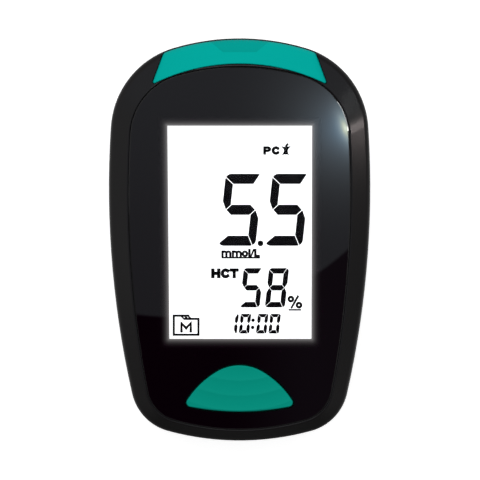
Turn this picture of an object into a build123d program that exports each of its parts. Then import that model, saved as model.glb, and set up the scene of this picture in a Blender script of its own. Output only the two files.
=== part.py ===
"""Handheld blood glucose meter, lying on its back.

Row frame: X across the meter, +Y towards the test strip slot, +Z out of the display. Millimetres.
The origin is on the flat back, under the middle of the body.
"""

import math
import os
from typing import NamedTuple

from build123d import *

os.makedirs("parts", exist_ok=True)


class Egg(NamedTuple):
    """An egg-shaped outline: four large arcs whose four meeting points are rounded."""

    top: float
    bottom: float
    half_width: float
    widest_y: float
    top_radius: float
    side_radius: float
    bottom_radius: float
    shoulder_radius: float
    corner_radius: float


# ---------------------------------------------------------------- driving dimensions

# Body, seen from the front
BODY_LENGTH = 96.0
BODY_WIDTH = 62.4
BODY_WIDEST_Y = 12.5
BODY_TOP_RADIUS = 55.0
BODY_SIDE_RADIUS = 222.0
BODY_BOTTOM_RADIUS = 65.0
BODY_SHOULDER_RADIUS = 21.0
BODY_CORNER_RADIUS = 12.0

# Body, seen from the side
PARTING_Z = 11.0
FRONT_WALL_HEIGHT = 8.0
FRONT_DRAFT = 0.3
FRONT_EDGE_RADIUS = 3.6
PARTING_EDGE_RADIUS = 0.2
SLOPE_DROP = 0.45
BACK_DRAFT = 1.0
BACK_EDGE_RADIUS = 5.5
BACK_SLOPE_START_Y = 19.0
BACK_SLOPE_RADIUS = 85.0
WALL = 1.8

# Front window
RIM_TOP = 7.1
RIM_BOTTOM = 2.9
RIM_SIDE = 4.85
LENS_WIDEST_Y = 10.8
LENS_TOP_RADIUS = 54.0
LENS_SIDE_RADIUS = 248.0
LENS_BOTTOM_RADIUS = 56.0
LENS_SHOULDER_RADIUS = 15.3
LENS_CORNER_RADIUS = 8.7
LENS_THICKNESS = 1.5
LENS_GAP = 0.1
LENS_PROUD = 0.2
LENS_CHAMFER = 0.2
RIM_LAND = 0.35
RIM_EDGE_RADIUS = 0.16
MASK_THICKNESS = 0.1
TAPE_THICKNESS = 0.2
TAPE_MARGIN = 0.6
DECK_THICKNESS = 1.4

# Display
WINDOW_WIDTH = 34.5
WINDOW_FROM_LENS_TOP = 13.8
WINDOW_FROM_LENS_BOTTOM = 21.2
WINDOW_OVERLAP = 0.6
GLASS_MARGIN = 1.5
GLASS_THICKNESS = 1.1
CONTACT_LEDGE = 3.0
GASKET_THICKNESS = 0.4
GASKET_WIDTH = 0.8
BACKLIGHT_THICKNESS = 2.4
BACKLIGHT_GAP = 0.4
ZEBRA_WIDTH = 2.0
ZEBRA_LENGTH = 32.0
FRAME_WALL = 1.0
FRAME_GAP = 0.2
FRAME_SHELF = 0.8
FRAME_PIN_DIAMETER = 1.4
FRAME_PIN_LENGTH = 0.9

# Main button
BUTTON_BASE_WIDTH = 26.4
BUTTON_PEAK_HEIGHT = 10.3
BUTTON_SIDE_RADIUS = 21.5
BUTTON_SAG = 1.45
BUTTON_APEX_RADIUS = 10.6
BUTTON_TIP_RADIUS = 1.0
BUTTON_EDGE_RADIUS = 0.5
BUTTON_FROM_LENS_BOTTOM = 4.25
BUTTON_PROUD = 0.6
BUTTON_GAP = 0.2
BUTTON_TRAVEL = 0.9
BUTTON_FLANGE_WIDTH = 0.8
BUTTON_FLANGE_THICKNESS = 1.0
BUTTON_SKIN = 1.3
BUTTON_STEM_DIAMETER = 4.0
RIPPLE_PITCH = 3.6
RIPPLE_DEPTH = 0.16
RIPPLE_CENTRE_ABOVE_APEX = 20.7
DOME_DIAMETER = 9.0
DOME_HEIGHT = 2.0
DOME_SKIN = 0.5

# Circuit board
BOARD_THICKNESS = 1.0
BOARD_INSET = 3.4
BOARD_GAP = 0.5
BOARD_HOLE_DIAMETER = 2.8

# Cells (LR03) and their bay, open at the back
CELL_DIAMETER = 10.5
CELL_LENGTH = 44.5
CELL_NUB_DIAMETER = 3.8
CELL_NUB_LENGTH = 0.8
CELL_GAP = 0.3
BAY_START_Y = -38.8
BAY_WALL = 1.2
CONTACT_THICKNESS = 0.4
CONTACT_WIDTH = 8.0
CONTACT_HEIGHT = 7.6
BRIDGE_HEIGHT = 3.0
DIMPLE_HEIGHT = 0.5
DIMPLE_DIAMETER = 4.4
SPRING_LENGTH = 4.0
SPRING_WIRE = 0.5
SPRING_DIAMETER = 6.0
SPRING_TURNS = 3.5
SPRING_END_GAP = 0.03

# Battery door
DOOR_WIDTH = 26.4
DOOR_THICKNESS = 1.5
DOOR_RECESS = 0.1
DOOR_GAP = 0.2
DOOR_CORNER_RADIUS = 2.5
DOOR_EDGE_RADIUS = 0.3
DOOR_RIB_HEIGHT = 1.8
DOOR_RIB_WIDTH = 1.4
HOOK_LENGTH = 1.7
HOOK_WIDTH = 2.4
HOOK_THICKNESS = 0.8
HOOK_ROOM = 2.3
HOOK_SPREAD = 20.8
LATCH_WIDTH = 10.0
LATCH_LENGTH = 9.0
LATCH_SLIT = 0.8
LATCH_NOSE_HEIGHT = 2.0
LATCH_NOSE_THICKNESS = 1.2
GRIP_RIDGES = 4
GRIP_PITCH = 1.5
GRIP_DEPTH = 0.5

# Set button, in a well beside the cells
WELL_LENGTH = 6.4
WELL_WIDTH = 12.0
WELL_DEPTH = 6.5
SHELF_THICKNESS = 1.1
SET_DIAMETER = 3.4
SET_GAP = 0.15
SET_PROUD = 1.0
SET_FLANGE_WIDTH = 0.8
SET_FLANGE_THICKNESS = 0.7
SET_TRAVEL = 0.5
SWITCH_SIZE = 6.0
PLUNGER_DIAMETER = 2.6
PLUNGER_GAP = 0.1
PLUNGER_LENGTH = 2.0
SWITCH_STOP_GAP = 0.1

# Test strip port
PORT_BASE_WIDTH = 41.8
PORT_BASE_FROM_TOP = 11.3
PORT_SAG = 5.0
PORT_SIDE_TAPER = 20.0
PORT_CORNER_RADIUS = 0.35
PORT_EDGE_CHAMFER = 0.2
PORT_INSET = 0.35
PORT_THICKNESS = 1.45
PORT_GAP = 0.15
PORT_SEAT_WIDTH = 1.2
PORT_SEAT_THICKNESS = 0.8
STRIP_SLOT_WIDTH = 7.6
STRIP_SLOT_HEIGHT = 1.0
STRIP_BELOW_BOARD = 1.4
STRIP_MOUTH_CHAMFER = 0.5
GUIDE_WIDTH = 8.0
GUIDE_FROM_TOP = 3.5
GUIDE_DEPTH = 0.55
GUIDE_FLOOR_ANGLE = 30.0
GUIDE_SIDE_ANGLE = 50.0
TUNNEL_WALL = 0.7
CONNECTOR_WIDTH = 11.2
CONNECTOR_LENGTH = 10.0
CONNECTOR_HEIGHT = 3.0
CONNECTOR_FROM_TOP = 8.4
CONTACT_FINGERS = 5
FINGER_PITCH = 1.4
FINGER_WIDTH = 0.6
FINGER_THICKNESS = 0.2

# Strip ejector, worked from the back
EJECTOR_TRAVEL = 5.0
EJECTOR_WIDTH = 12.0
EJECTOR_LENGTH = 9.0
EJECTOR_CORNER_RADIUS = 1.2
EJECTOR_EDGE_RADIUS = 0.4
EJECTOR_FROM_DOOR = 5.6
EJECTOR_HEIGHT = 2.9
EJECTOR_POCKET_Z = 4.0
EJECTOR_POCKET_GAP = 1.0
EJECTOR_FLOOR = 1.4
EJECTOR_GAP = 0.1
EJECTOR_NECK_WIDTH = 3.0
EJECTOR_NECK_LENGTH = 3.0
EJECTOR_RIDGES = 4
EJECTOR_RIDGE_PITCH = 2.0
EJECTOR_RIDGE_HEIGHT = 0.8
CARRIAGE_THICKNESS = 1.2
CARRIAGE_LENGTH = 7.0
PUSHER_WIDTH = 2.4
PUSHER_LENGTH = 1.6
RETURN_SPRING_DIAMETER = 2.6
RETURN_SPRING_WIRE = 0.35
RETURN_SPRING_TURNS = 7
RETURN_SPRING_X = 4.2
SPRING_POST_GAP = 4.0
RAIL_THICKNESS = 1.0
RAIL_HEIGHT = 1.5

# Joint between the housings, and the screws that close it
LIP_INSET = 1.0
LIP_HEIGHT = 1.0
LIP_GAP = 0.1
SCREW_DIAMETER = 2.2
SCREW_LENGTH = 10.0
SCREW_HEAD_DIAMETER = 4.0
SCREW_HEAD_HEIGHT = 1.6
SCREW_HOLE_GAP = 0.1
SCREW_CROSS_WIDTH = 0.6
SCREW_CROSS_DEPTH = 0.8
SCREW_SEAT_Z = 9.0
BOSS_DIAMETER = 5.6
TOP_SCREW_X = 14.2
TOP_SCREW_FROM_TOP = 12.2
BOTTOM_SCREW_X = 17.6
BOTTOM_SCREW_FROM_BOTTOM = 16.0

# Data port, in the bottom end
USB_WIDTH = 7.6
USB_HEIGHT = 2.6
USB_LENGTH = 5.6
USB_SKIN = 0.3
USB_SETBACK = 1.6
USB_GAP = 0.3

# Small parts on the board
CHIP_HEIGHT = 1.2
BUZZER_DIAMETER = 10.0
BUZZER_HEIGHT = 2.4
BUZZER_FROM_SIDE = 15.7
BUZZER_FROM_TOP = 23.0
VENT_DIAMETER = 1.2
VENT_CIRCLE = 4.4
VENT_COUNT = 5
LED_SIZE = 1.6
CHIPS = (
    (18.0, 2.0, 9.0, 9.0),
    (17.5, -12.0, 4.0, 5.0),
    (-18.0, -4.0, 5.0, 4.0),
    (9.6, 27.0, 4.0, 4.0),
)

# ---------------------------------------------------------------- worked-out levels and places

BODY = Egg(
    top=BODY_LENGTH / 2,
    bottom=-BODY_LENGTH / 2,
    half_width=BODY_WIDTH / 2,
    widest_y=BODY_WIDEST_Y,
    top_radius=BODY_TOP_RADIUS,
    side_radius=BODY_SIDE_RADIUS,
    bottom_radius=BODY_BOTTOM_RADIUS,
    shoulder_radius=BODY_SHOULDER_RADIUS,
    corner_radius=BODY_CORNER_RADIUS,
)
LENS = Egg(
    top=BODY.top - RIM_TOP,
    bottom=BODY.bottom + RIM_BOTTOM,
    half_width=BODY.half_width - RIM_SIDE,
    widest_y=LENS_WIDEST_Y,
    top_radius=LENS_TOP_RADIUS,
    side_radius=LENS_SIDE_RADIUS,
    bottom_radius=LENS_BOTTOM_RADIUS,
    shoulder_radius=LENS_SHOULDER_RADIUS,
    corner_radius=LENS_CORNER_RADIUS,
)

door_top_z = DOOR_RECESS + DOOR_THICKNESS
cell_z = door_top_z + CELL_GAP + CELL_DIAMETER / 2
tray_top_z = cell_z + CELL_DIAMETER / 2 + CELL_GAP + BAY_WALL
board_bottom_z = tray_top_z + BOARD_GAP
board_top_z = board_bottom_z + BOARD_THICKNESS
backlight_z = board_top_z + BACKLIGHT_GAP
rear_glass_z = backlight_z + BACKLIGHT_THICKNESS
front_glass_z = rear_glass_z + GLASS_THICKNESS
gasket_z = front_glass_z + GLASS_THICKNESS
deck_bottom_z = gasket_z + GASKET_THICKNESS
deck_top_z = deck_bottom_z + DECK_THICKNESS
mask_z = deck_top_z + TAPE_THICKNESS
lens_bottom_z = mask_z + MASK_THICKNESS
lens_top_z = lens_bottom_z + LENS_THICKNESS
rim_z = lens_top_z - LENS_PROUD
shoulder_z = PARTING_Z + FRONT_WALL_HEIGHT

window_top_y = LENS.top - WINDOW_FROM_LENS_TOP
window_bottom_y = LENS.bottom + WINDOW_FROM_LENS_BOTTOM
window_height = window_top_y - window_bottom_y
window_y = (window_top_y + window_bottom_y) / 2
glass_bottom_y = window_bottom_y - GLASS_MARGIN
rear_glass_top_y = window_top_y + GLASS_MARGIN
front_glass_top_y = rear_glass_top_y + CONTACT_LEDGE
glass_width = WINDOW_WIDTH + 2 * GLASS_MARGIN

button_base_y = LENS.bottom + BUTTON_FROM_LENS_BOTTOM + BUTTON_SAG
button_half = BUTTON_BASE_WIDTH / 2
button_peak_y = button_base_y + BUTTON_PEAK_HEIGHT
button_side = math.hypot(button_half, BUTTON_PEAK_HEIGHT)
button_side_depth = math.sqrt(BUTTON_SIDE_RADIUS**2 - button_side**2 / 4)
button_side_x = button_side_depth * BUTTON_PEAK_HEIGHT / button_side - button_half / 2
button_side_y = (
    (button_base_y + button_peak_y) / 2 - button_side_depth * button_half / button_side
)
button_apex_y = (
    button_side_y + BUTTON_APEX_RADIUS
    + math.sqrt((BUTTON_SIDE_RADIUS - BUTTON_APEX_RADIUS) ** 2 - button_side_x**2)
)
button_stem_y = (button_base_y - BUTTON_SAG + button_apex_y) / 2
ripple_centre_y = button_apex_y + RIPPLE_CENTRE_ABOVE_APEX

cell_x = CELL_DIAMETER / 2 + CELL_GAP / 2
bay_half_width = cell_x + CELL_DIAMETER / 2 + CELL_GAP
bay_end_y = BAY_START_Y + 2 * CONTACT_THICKNESS + DIMPLE_HEIGHT + CELL_LENGTH + SPRING_LENGTH
well_start_y = bay_end_y + BAY_WALL
door_start_y = BAY_START_Y + DOOR_GAP
door_end_y = well_start_y + WELL_LENGTH - DOOR_GAP
door_length = door_end_y - door_start_y
door_y = (door_start_y + door_end_y) / 2
shelf_z = door_top_z + WELL_DEPTH
shelf_top_z = shelf_z + SHELF_THICKNESS
set_y = well_start_y + WELL_LENGTH / 2
set_flange_z = shelf_top_z + SET_GAP
set_top_z = set_flange_z + SET_FLANGE_THICKNESS
switch_z = set_top_z + SET_TRAVEL + SWITCH_STOP_GAP

strip_z = board_bottom_z - STRIP_BELOW_BOARD
connector_end_y = BODY.top - CONNECTOR_FROM_TOP
connector_start_y = connector_end_y - CONNECTOR_LENGTH
port_seat_inset = PORT_INSET + PORT_THICKNESS + PORT_GAP
port_base_y = BODY.top - PORT_BASE_FROM_TOP

ejector_y = door_end_y + EJECTOR_FROM_DOOR + EJECTOR_LENGTH / 2
ejector_floor_z = EJECTOR_POCKET_Z + EJECTOR_FLOOR
carriage_z = ejector_floor_z + EJECTOR_GAP
carriage_top_z = carriage_z + CARRIAGE_THICKNESS
carriage_end_y = ejector_y + CARRIAGE_LENGTH / 2
pusher_y = carriage_end_y - PUSHER_LENGTH / 2
return_spring_z = carriage_top_z + RETURN_SPRING_DIAMETER / 2 + EJECTOR_GAP
return_spring_y = carriage_end_y + RETURN_SPRING_WIRE / 2 + SPRING_END_GAP
spring_post_y = carriage_end_y + EJECTOR_TRAVEL + SPRING_POST_GAP

buzzer_x = BUZZER_FROM_SIDE - BODY.half_width
buzzer_y = BODY.top - BUZZER_FROM_TOP
usb_start_y = BODY.bottom + USB_SETBACK
top_screw_y = BODY.top - TOP_SCREW_FROM_TOP
bottom_screw_y = BODY.bottom + BOTTOM_SCREW_FROM_BOTTOM
screw_points = [
    (side * x, y)
    for x, y in ((TOP_SCREW_X, top_screw_y), (BOTTOM_SCREW_X, bottom_screw_y))
    for side in (-1, 1)
]


# ---------------------------------------------------------------- shared shapes


def egg(shape, inset=0.0):
    """The outline of an egg, moved inwards by inset."""
    side_x = shape.half_width - shape.side_radius
    with BuildSketch(mode=Mode.PRIVATE) as sketch:
        with Locations((0, shape.top - shape.top_radius)):
            Circle(shape.top_radius - inset)
        for side in (-1, 1):
            with Locations(Location((side * side_x, shape.widest_y, 0), (0, 0, 90))):
                Circle(shape.side_radius - inset, mode=Mode.INTERSECT)
        with Locations((0, shape.bottom + shape.bottom_radius)):
            Circle(shape.bottom_radius - inset, mode=Mode.INTERSECT)
        fillet(sketch.vertices().group_by(Axis.Y)[-1], shape.shoulder_radius - inset)
        fillet(sketch.vertices().group_by(Axis.Y)[0], shape.corner_radius - inset)
    return sketch.sketch


def front_form(inset):
    """The front half: a drafted wall, then a ring that slopes up to the window, its edge rounded."""
    slope_drop = SLOPE_DROP * inset
    with BuildPart(mode=Mode.PRIVATE) as form:
        with BuildSketch(Plane.XY.offset(PARTING_Z)):
            add(egg(BODY, inset))
        with BuildSketch(Plane.XY.offset(shoulder_z - slope_drop)):
            add(egg(BODY, inset + FRONT_DRAFT))
        loft(ruled=True)
        with BuildSketch(Plane.XY.offset(shoulder_z - slope_drop)):
            add(egg(BODY, inset + FRONT_DRAFT))
        with BuildSketch(Plane.XY.offset(rim_z - slope_drop)):
            add(egg(LENS, inset - LENS_GAP - RIM_LAND))
        loft(ruled=True)
        edge = form.edges().filter_by_position(
            Axis.Z, shoulder_z - slope_drop - 0.01, shoulder_z - slope_drop + 0.01
        )
        fillet(edge, FRONT_EDGE_RADIUS - inset)
    return form.part


def rear_form(inset):
    """The rear half: a drafted wall and a rounded edge, its back curving up to the strip slot."""
    with BuildPart(mode=Mode.PRIVATE) as form:
        with BuildSketch(Plane.XY.offset(PARTING_Z)):
            add(egg(BODY, inset))
        with BuildSketch(Plane.XY.offset(inset)):
            add(egg(BODY, inset + BACK_DRAFT))
        loft(ruled=True)
        radius = BACK_SLOPE_RADIUS - inset
        reach = BODY_LENGTH - BACK_SLOPE_START_Y
        with BuildSketch(Plane.YZ):
            with BuildLine():
                start = (BACK_SLOPE_START_Y, inset)
                slope = JernArc(start, (1, 0), radius, math.degrees(reach / radius))
                Polyline(
                    slope @ 1, (BODY_LENGTH, BODY_LENGTH), (-BODY_LENGTH, BODY_LENGTH),
                    (-BODY_LENGTH, inset), start,
                )
            make_face()
        extrude(amount=BODY_WIDTH, both=True, mode=Mode.INTERSECT)
        back = form.faces().filter_by(lambda face: face.normal_at(face.center()).Z < -0.9)
        fillet(back.edges().filter_by(Axis.X, reverse=True), BACK_EDGE_RADIUS - inset)
    return form.part


def port_outline(growth=0.0):
    """The strip port cover from the front: a curved base and two sides that lean in towards the top."""
    half = PORT_BASE_WIDTH / 2
    rise = BODY.top + growth + 2 - port_base_y
    lean = rise * math.tan(math.radians(PORT_SIDE_TAPER))
    with BuildSketch(mode=Mode.PRIVATE) as sketch:
        with BuildLine():
            ThreePointArc(
                (-half, port_base_y), (0, port_base_y + PORT_SAG), (half, port_base_y)
            )
            Polyline(
                (half, port_base_y), (half - lean, port_base_y + rise),
                (lean - half, port_base_y + rise), (-half, port_base_y),
            )
        make_face()
        fillet(sketch.vertices().group_by(Axis.Y)[0], PORT_CORNER_RADIUS)
        if growth:
            offset(amount=growth, kind=Kind.INTERSECTION)
    return sketch.sketch


def button_outline(growth=0.0):
    """The main button from the front: a rounded hill with full sides on a shallow bowed base."""
    left = (-button_half, button_base_y)
    right = (button_half, button_base_y)
    peak = (0, button_peak_y)
    with BuildSketch(mode=Mode.PRIVATE) as sketch:
        with BuildLine():
            RadiusArc(left, peak, BUTTON_SIDE_RADIUS)
            RadiusArc(peak, right, BUTTON_SIDE_RADIUS)
            ThreePointArc(right, (0, button_base_y - BUTTON_SAG), left)
        make_face()
        fillet(sketch.vertices().group_by(Axis.Y)[-1], BUTTON_APEX_RADIUS)
        fillet(sketch.vertices().group_by(Axis.Y)[0], BUTTON_TIP_RADIUS)
        if growth:
            offset(amount=growth)
    return sketch.sketch


def brow_z(y):
    """The height of the ring's slope above the strip port, at a distance along the meter."""
    inner_y = LENS.top + LENS_GAP + RIM_LAND
    outer_y = BODY.top - FRONT_DRAFT
    return rim_z - (y - inner_y) / (outer_y - inner_y) * (rim_z - shoulder_z)


def prism(sketch, low_z, high_z):
    """A flat outline drawn out between two heights."""
    with BuildPart(mode=Mode.PRIVATE) as body:
        with BuildSketch(Plane.XY.offset(low_z)):
            add(sketch)
        extrude(amount=high_z - low_z)
    return body.part


def export(builder, name):
    """Labels a finished piece and writes its file."""
    builder.part.label = name
    export_step(builder.part, f"parts/{name}.step")


# ---------------------------------------------------------------- front housing

port_seat = front_form(port_seat_inset)
port_seat_under = front_form(port_seat_inset + PORT_SEAT_THICKNESS)

with BuildPart() as front_cavity:
    add(front_form(WALL))
    split(bisect_by=Plane.XY.offset(deck_bottom_z), keep=Keep.BOTTOM)

with BuildPart() as port_ledge:
    add(port_seat)
    add(port_seat_under, mode=Mode.SUBTRACT)
    add(prism(port_outline(PORT_SEAT_WIDTH), PARTING_Z, lens_top_z), mode=Mode.INTERSECT)

with BuildPart() as port_cut:
    add(prism(port_outline(PORT_GAP), PARTING_Z - 1, lens_top_z + 1))
    add(port_seat, mode=Mode.SUBTRACT)

with BuildPart() as front_housing:
    add(front_form(0))
    fillet(front_housing.faces().sort_by(Axis.Z)[0].edges(), PARTING_EDGE_RADIUS)
    # recess that the window lies in
    with BuildSketch(Plane.XY.offset(deck_top_z)):
        add(egg(LENS, -LENS_GAP))
    extrude(amount=lens_top_z, mode=Mode.SUBTRACT)
    land = front_housing.faces().filter_by(Axis.Z).filter_by_position(Axis.Z, rim_z - 0.1, rim_z + 0.1)
    fillet(land.edges(), RIM_EDGE_RADIUS)
    add(front_cavity.part, mode=Mode.SUBTRACT)
    # rebate for the rear housing's lip
    with BuildSketch(Plane.XY.offset(PARTING_Z)):
        add(egg(BODY, LIP_INSET - LIP_GAP))
    extrude(amount=LIP_HEIGHT + LIP_GAP, mode=Mode.SUBTRACT)
    # seat and opening of the strip port cover
    add(port_ledge.part)
    add(port_cut.part, mode=Mode.SUBTRACT)
    with BuildSketch(Plane.XY.offset(PARTING_Z)):
        add(port_outline(-PORT_SEAT_WIDTH))
    extrude(amount=deck_top_z - PARTING_Z, mode=Mode.SUBTRACT)
    # screw bosses, which press the board against the rear housing's
    with BuildSketch(Plane.XY.offset(board_top_z)):
        with Locations(*screw_points):
            Circle(BOSS_DIAMETER / 2)
    extrude(amount=deck_bottom_z - board_top_z)
    # display and button openings through the deck
    with BuildSketch(Plane.XY.offset(deck_bottom_z)):
        with Locations((0, window_y)):
            Rectangle(WINDOW_WIDTH + WINDOW_OVERLAP, window_height + WINDOW_OVERLAP)
        add(button_outline(BUTTON_GAP))
    extrude(amount=DECK_THICKNESS, mode=Mode.SUBTRACT)
    with BuildSketch(Plane.XY.offset(board_top_z)):
        with Locations(*screw_points):
            Circle(SCREW_DIAMETER / 2 + 0.02)
    extrude(amount=deck_bottom_z - board_top_z, mode=Mode.SUBTRACT)
    # data port opening in the bottom end
    with BuildSketch(Plane.XZ.offset(-BODY.bottom)):
        with Locations((0, board_top_z + USB_HEIGHT / 2)):
            SlotOverall(USB_WIDTH + 2 * USB_GAP, USB_HEIGHT + 2 * USB_GAP)
    extrude(amount=-(USB_SETBACK + WALL), both=True, mode=Mode.SUBTRACT)
export(front_housing, "front_housing")

# ---------------------------------------------------------------- rear housing

bay_length = bay_end_y - BAY_START_Y
recess_length = door_length + 2 * DOOR_GAP
slide_y = ejector_y + EJECTOR_TRAVEL / 2
slide_length = EJECTOR_LENGTH + EJECTOR_TRAVEL
hook_points = [(side * HOOK_SPREAD / 2, door_start_y) for side in (-1, 1)]

# Everything that stands on the inside of the back
with BuildPart() as rear_fittings:
    # battery tray: walls up to the cells' axes, then a roof that follows both cells
    with BuildSketch(Plane.XY):
        with Locations((0, door_y)):
            Rectangle(2 * (bay_half_width + BAY_WALL), recess_length + 2 * BAY_WALL)
    extrude(amount=cell_z)
    with BuildSketch(Plane.XZ.offset(-(BAY_START_Y - BAY_WALL))):
        with Locations((-cell_x, cell_z), (cell_x, cell_z)):
            Circle(CELL_DIAMETER / 2 + CELL_GAP + BAY_WALL)
    extrude(amount=-(bay_length + 2 * BAY_WALL))
    # frame that the door's edges lie against
    with BuildSketch(Plane.XY):
        with Locations((0, door_y)):
            Rectangle(DOOR_WIDTH + 2 * BAY_WALL, recess_length + 2 * BAY_WALL)
    extrude(amount=door_top_z + DOOR_RECESS + BAY_WALL)
    # well of the set button
    with BuildSketch(Plane.XY.offset(cell_z)):
        with Locations((0, set_y)):
            Rectangle(WELL_WIDTH + 2 * BAY_WALL, WELL_LENGTH + 2 * BAY_WALL)
    extrude(amount=shelf_top_z - cell_z)
    # screw columns up to the board
    with BuildSketch(Plane.XY):
        with Locations(*screw_points):
            Circle(BOSS_DIAMETER / 2)
    extrude(amount=board_bottom_z)
    # floor, guide rails and spring post of the strip ejector
    with BuildSketch(Plane.XY):
        with Locations((0, slide_y)):
            Rectangle(
                EJECTOR_WIDTH + 2 * (EJECTOR_POCKET_GAP + WALL),
                slide_length + 2 * (EJECTOR_POCKET_GAP + WALL),
            )
    extrude(amount=ejector_floor_z)
    with BuildSketch(Plane.XY.offset(ejector_floor_z)):
        rail_x = EJECTOR_WIDTH / 2 + EJECTOR_GAP + RAIL_THICKNESS / 2
        with Locations((-rail_x, slide_y), (rail_x, slide_y)):
            Rectangle(RAIL_THICKNESS, slide_length)
    extrude(amount=RAIL_HEIGHT)
    with BuildSketch(Plane.XY):
        with Locations((RETURN_SPRING_X, spring_post_y + RAIL_THICKNESS / 2)):
            Rectangle(RETURN_SPRING_DIAMETER + 1, RAIL_THICKNESS)
    extrude(amount=return_spring_z + RETURN_SPRING_DIAMETER / 2)

# Room inside the back that those fittings stay within
with BuildPart() as rear_room:
    add(rear_form(WALL / 2))
    with BuildSketch(Plane.XY.offset(PARTING_Z)):
        add(egg(BODY, BOARD_INSET))
    extrude(amount=board_bottom_z - PARTING_Z)

with BuildPart() as rear_housing:
    add(rear_form(0))
    fillet(rear_housing.faces().sort_by(Axis.Z)[-1].edges(), PARTING_EDGE_RADIUS)
    add(rear_form(WALL), mode=Mode.SUBTRACT)
    add(rear_fittings.part & rear_room.part)
    # lip that locates the front housing, left out at the strip port
    with BuildSketch(Plane.XY.offset(PARTING_Z)):
        add(egg(BODY, LIP_INSET))
        add(egg(BODY, WALL), mode=Mode.SUBTRACT)
        add(port_outline(PORT_SEAT_WIDTH), mode=Mode.SUBTRACT)
    extrude(amount=LIP_HEIGHT)
    # door recess through the back wall
    with BuildSketch(Plane.XY):
        with Locations((0, door_y)):
            RectangleRounded(
                DOOR_WIDTH + 2 * DOOR_GAP, recess_length, DOOR_CORNER_RADIUS + DOOR_GAP
            )
    extrude(amount=door_top_z + DOOR_RECESS, mode=Mode.SUBTRACT)
    # cell bay, its roof following the cells
    with BuildSketch(Plane.XY):
        with Locations((0, BAY_START_Y + bay_length / 2)):
            Rectangle(2 * bay_half_width, bay_length)
    extrude(amount=cell_z, mode=Mode.SUBTRACT)
    with BuildSketch(Plane.XZ.offset(-BAY_START_Y)):
        with Locations((-cell_x, cell_z), (cell_x, cell_z)):
            Circle(CELL_DIAMETER / 2 + CELL_GAP)
    extrude(amount=-bay_length, mode=Mode.SUBTRACT)
    # set button's well, and the hole through its shelf
    with BuildSketch(Plane.XY):
        with Locations((0, set_y)):
            Rectangle(WELL_WIDTH, WELL_LENGTH)
    extrude(amount=shelf_z, mode=Mode.SUBTRACT)
    with BuildSketch(Plane.XY.offset(shelf_z)):
        with Locations((0, set_y)):
            Circle(SET_DIAMETER / 2 + SET_GAP)
    extrude(amount=SHELF_THICKNESS, mode=Mode.SUBTRACT)
    # pockets for the door's hooks
    with BuildSketch(Plane.XY.offset(door_top_z + DOOR_RECESS)):
        with Locations(*hook_points):
            Rectangle(HOOK_WIDTH + 4 * DOOR_GAP, 2 * HOOK_LENGTH + 6 * DOOR_GAP)
    extrude(amount=HOOK_ROOM, mode=Mode.SUBTRACT)
    # screw holes
    with BuildSketch(Plane.XY):
        with Locations(*screw_points):
            Circle(SCREW_HEAD_DIAMETER / 2 + SCREW_HOLE_GAP)
    extrude(amount=SCREW_SEAT_Z, mode=Mode.SUBTRACT)
    with BuildSketch(Plane.XY.offset(SCREW_SEAT_Z)):
        with Locations(*screw_points):
            Circle(SCREW_DIAMETER / 2 + SCREW_HOLE_GAP)
    extrude(amount=board_bottom_z - SCREW_SEAT_Z, mode=Mode.SUBTRACT)
    # ejector's pocket and slot
    with BuildSketch(Plane.XY):
        with Locations((0, slide_y)):
            RectangleRounded(
                EJECTOR_WIDTH + 2 * EJECTOR_POCKET_GAP, slide_length + 2 * EJECTOR_POCKET_GAP,
                EJECTOR_CORNER_RADIUS + EJECTOR_POCKET_GAP,
            )
    extrude(amount=EJECTOR_POCKET_Z, mode=Mode.SUBTRACT)
    with BuildSketch(Plane.XY.offset(EJECTOR_POCKET_Z)):
        with Locations((0, slide_y)):
            Rectangle(
                EJECTOR_NECK_WIDTH + 2 * EJECTOR_GAP,
                EJECTOR_NECK_LENGTH + EJECTOR_TRAVEL + 4 * EJECTOR_GAP,
            )
    extrude(amount=EJECTOR_FLOOR, mode=Mode.SUBTRACT)
    # sound holes under the buzzer
    with BuildSketch(Plane.XY):
        with Locations((buzzer_x, buzzer_y)):
            with PolarLocations(VENT_CIRCLE / 2, VENT_COUNT):
                Circle(VENT_DIAMETER / 2)
    extrude(amount=2 * WALL, mode=Mode.SUBTRACT)
export(rear_housing, "rear_housing")

# ---------------------------------------------------------------- window

with BuildPart() as display_lens:
    with BuildSketch(Plane.XY.offset(lens_bottom_z)):
        add(egg(LENS))
        add(button_outline(BUTTON_GAP), mode=Mode.SUBTRACT)
    extrude(amount=LENS_THICKNESS)
    chamfer(display_lens.faces().sort_by(Axis.Z)[-1].edges(), LENS_CHAMFER)
export(display_lens, "display_lens")

with BuildPart() as lens_mask:
    with BuildSketch(Plane.XY.offset(mask_z)):
        add(egg(LENS))
        with Locations((0, window_y)):
            Rectangle(WINDOW_WIDTH, window_height, mode=Mode.SUBTRACT)
        add(button_outline(BUTTON_GAP), mode=Mode.SUBTRACT)
    extrude(amount=MASK_THICKNESS)
export(lens_mask, "lens_mask")

with BuildPart() as lens_tape:
    with BuildSketch(Plane.XY.offset(deck_top_z)):
        add(egg(LENS, TAPE_MARGIN))
        with Locations((0, window_y)):
            Rectangle(
                WINDOW_WIDTH + WINDOW_OVERLAP + 2 * TAPE_MARGIN,
                window_height + WINDOW_OVERLAP + 2 * TAPE_MARGIN,
                mode=Mode.SUBTRACT,
            )
        add(button_outline(BUTTON_GAP + TAPE_MARGIN), mode=Mode.SUBTRACT)
    extrude(amount=TAPE_THICKNESS)
export(lens_tape, "lens_tape")

# ---------------------------------------------------------------- strip port cover

tunnel_height = STRIP_SLOT_HEIGHT + 2 * TUNNEL_WALL
tunnel_start_y = connector_end_y + PORT_GAP
cover_face_y = BODY.top - PORT_INSET

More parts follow.
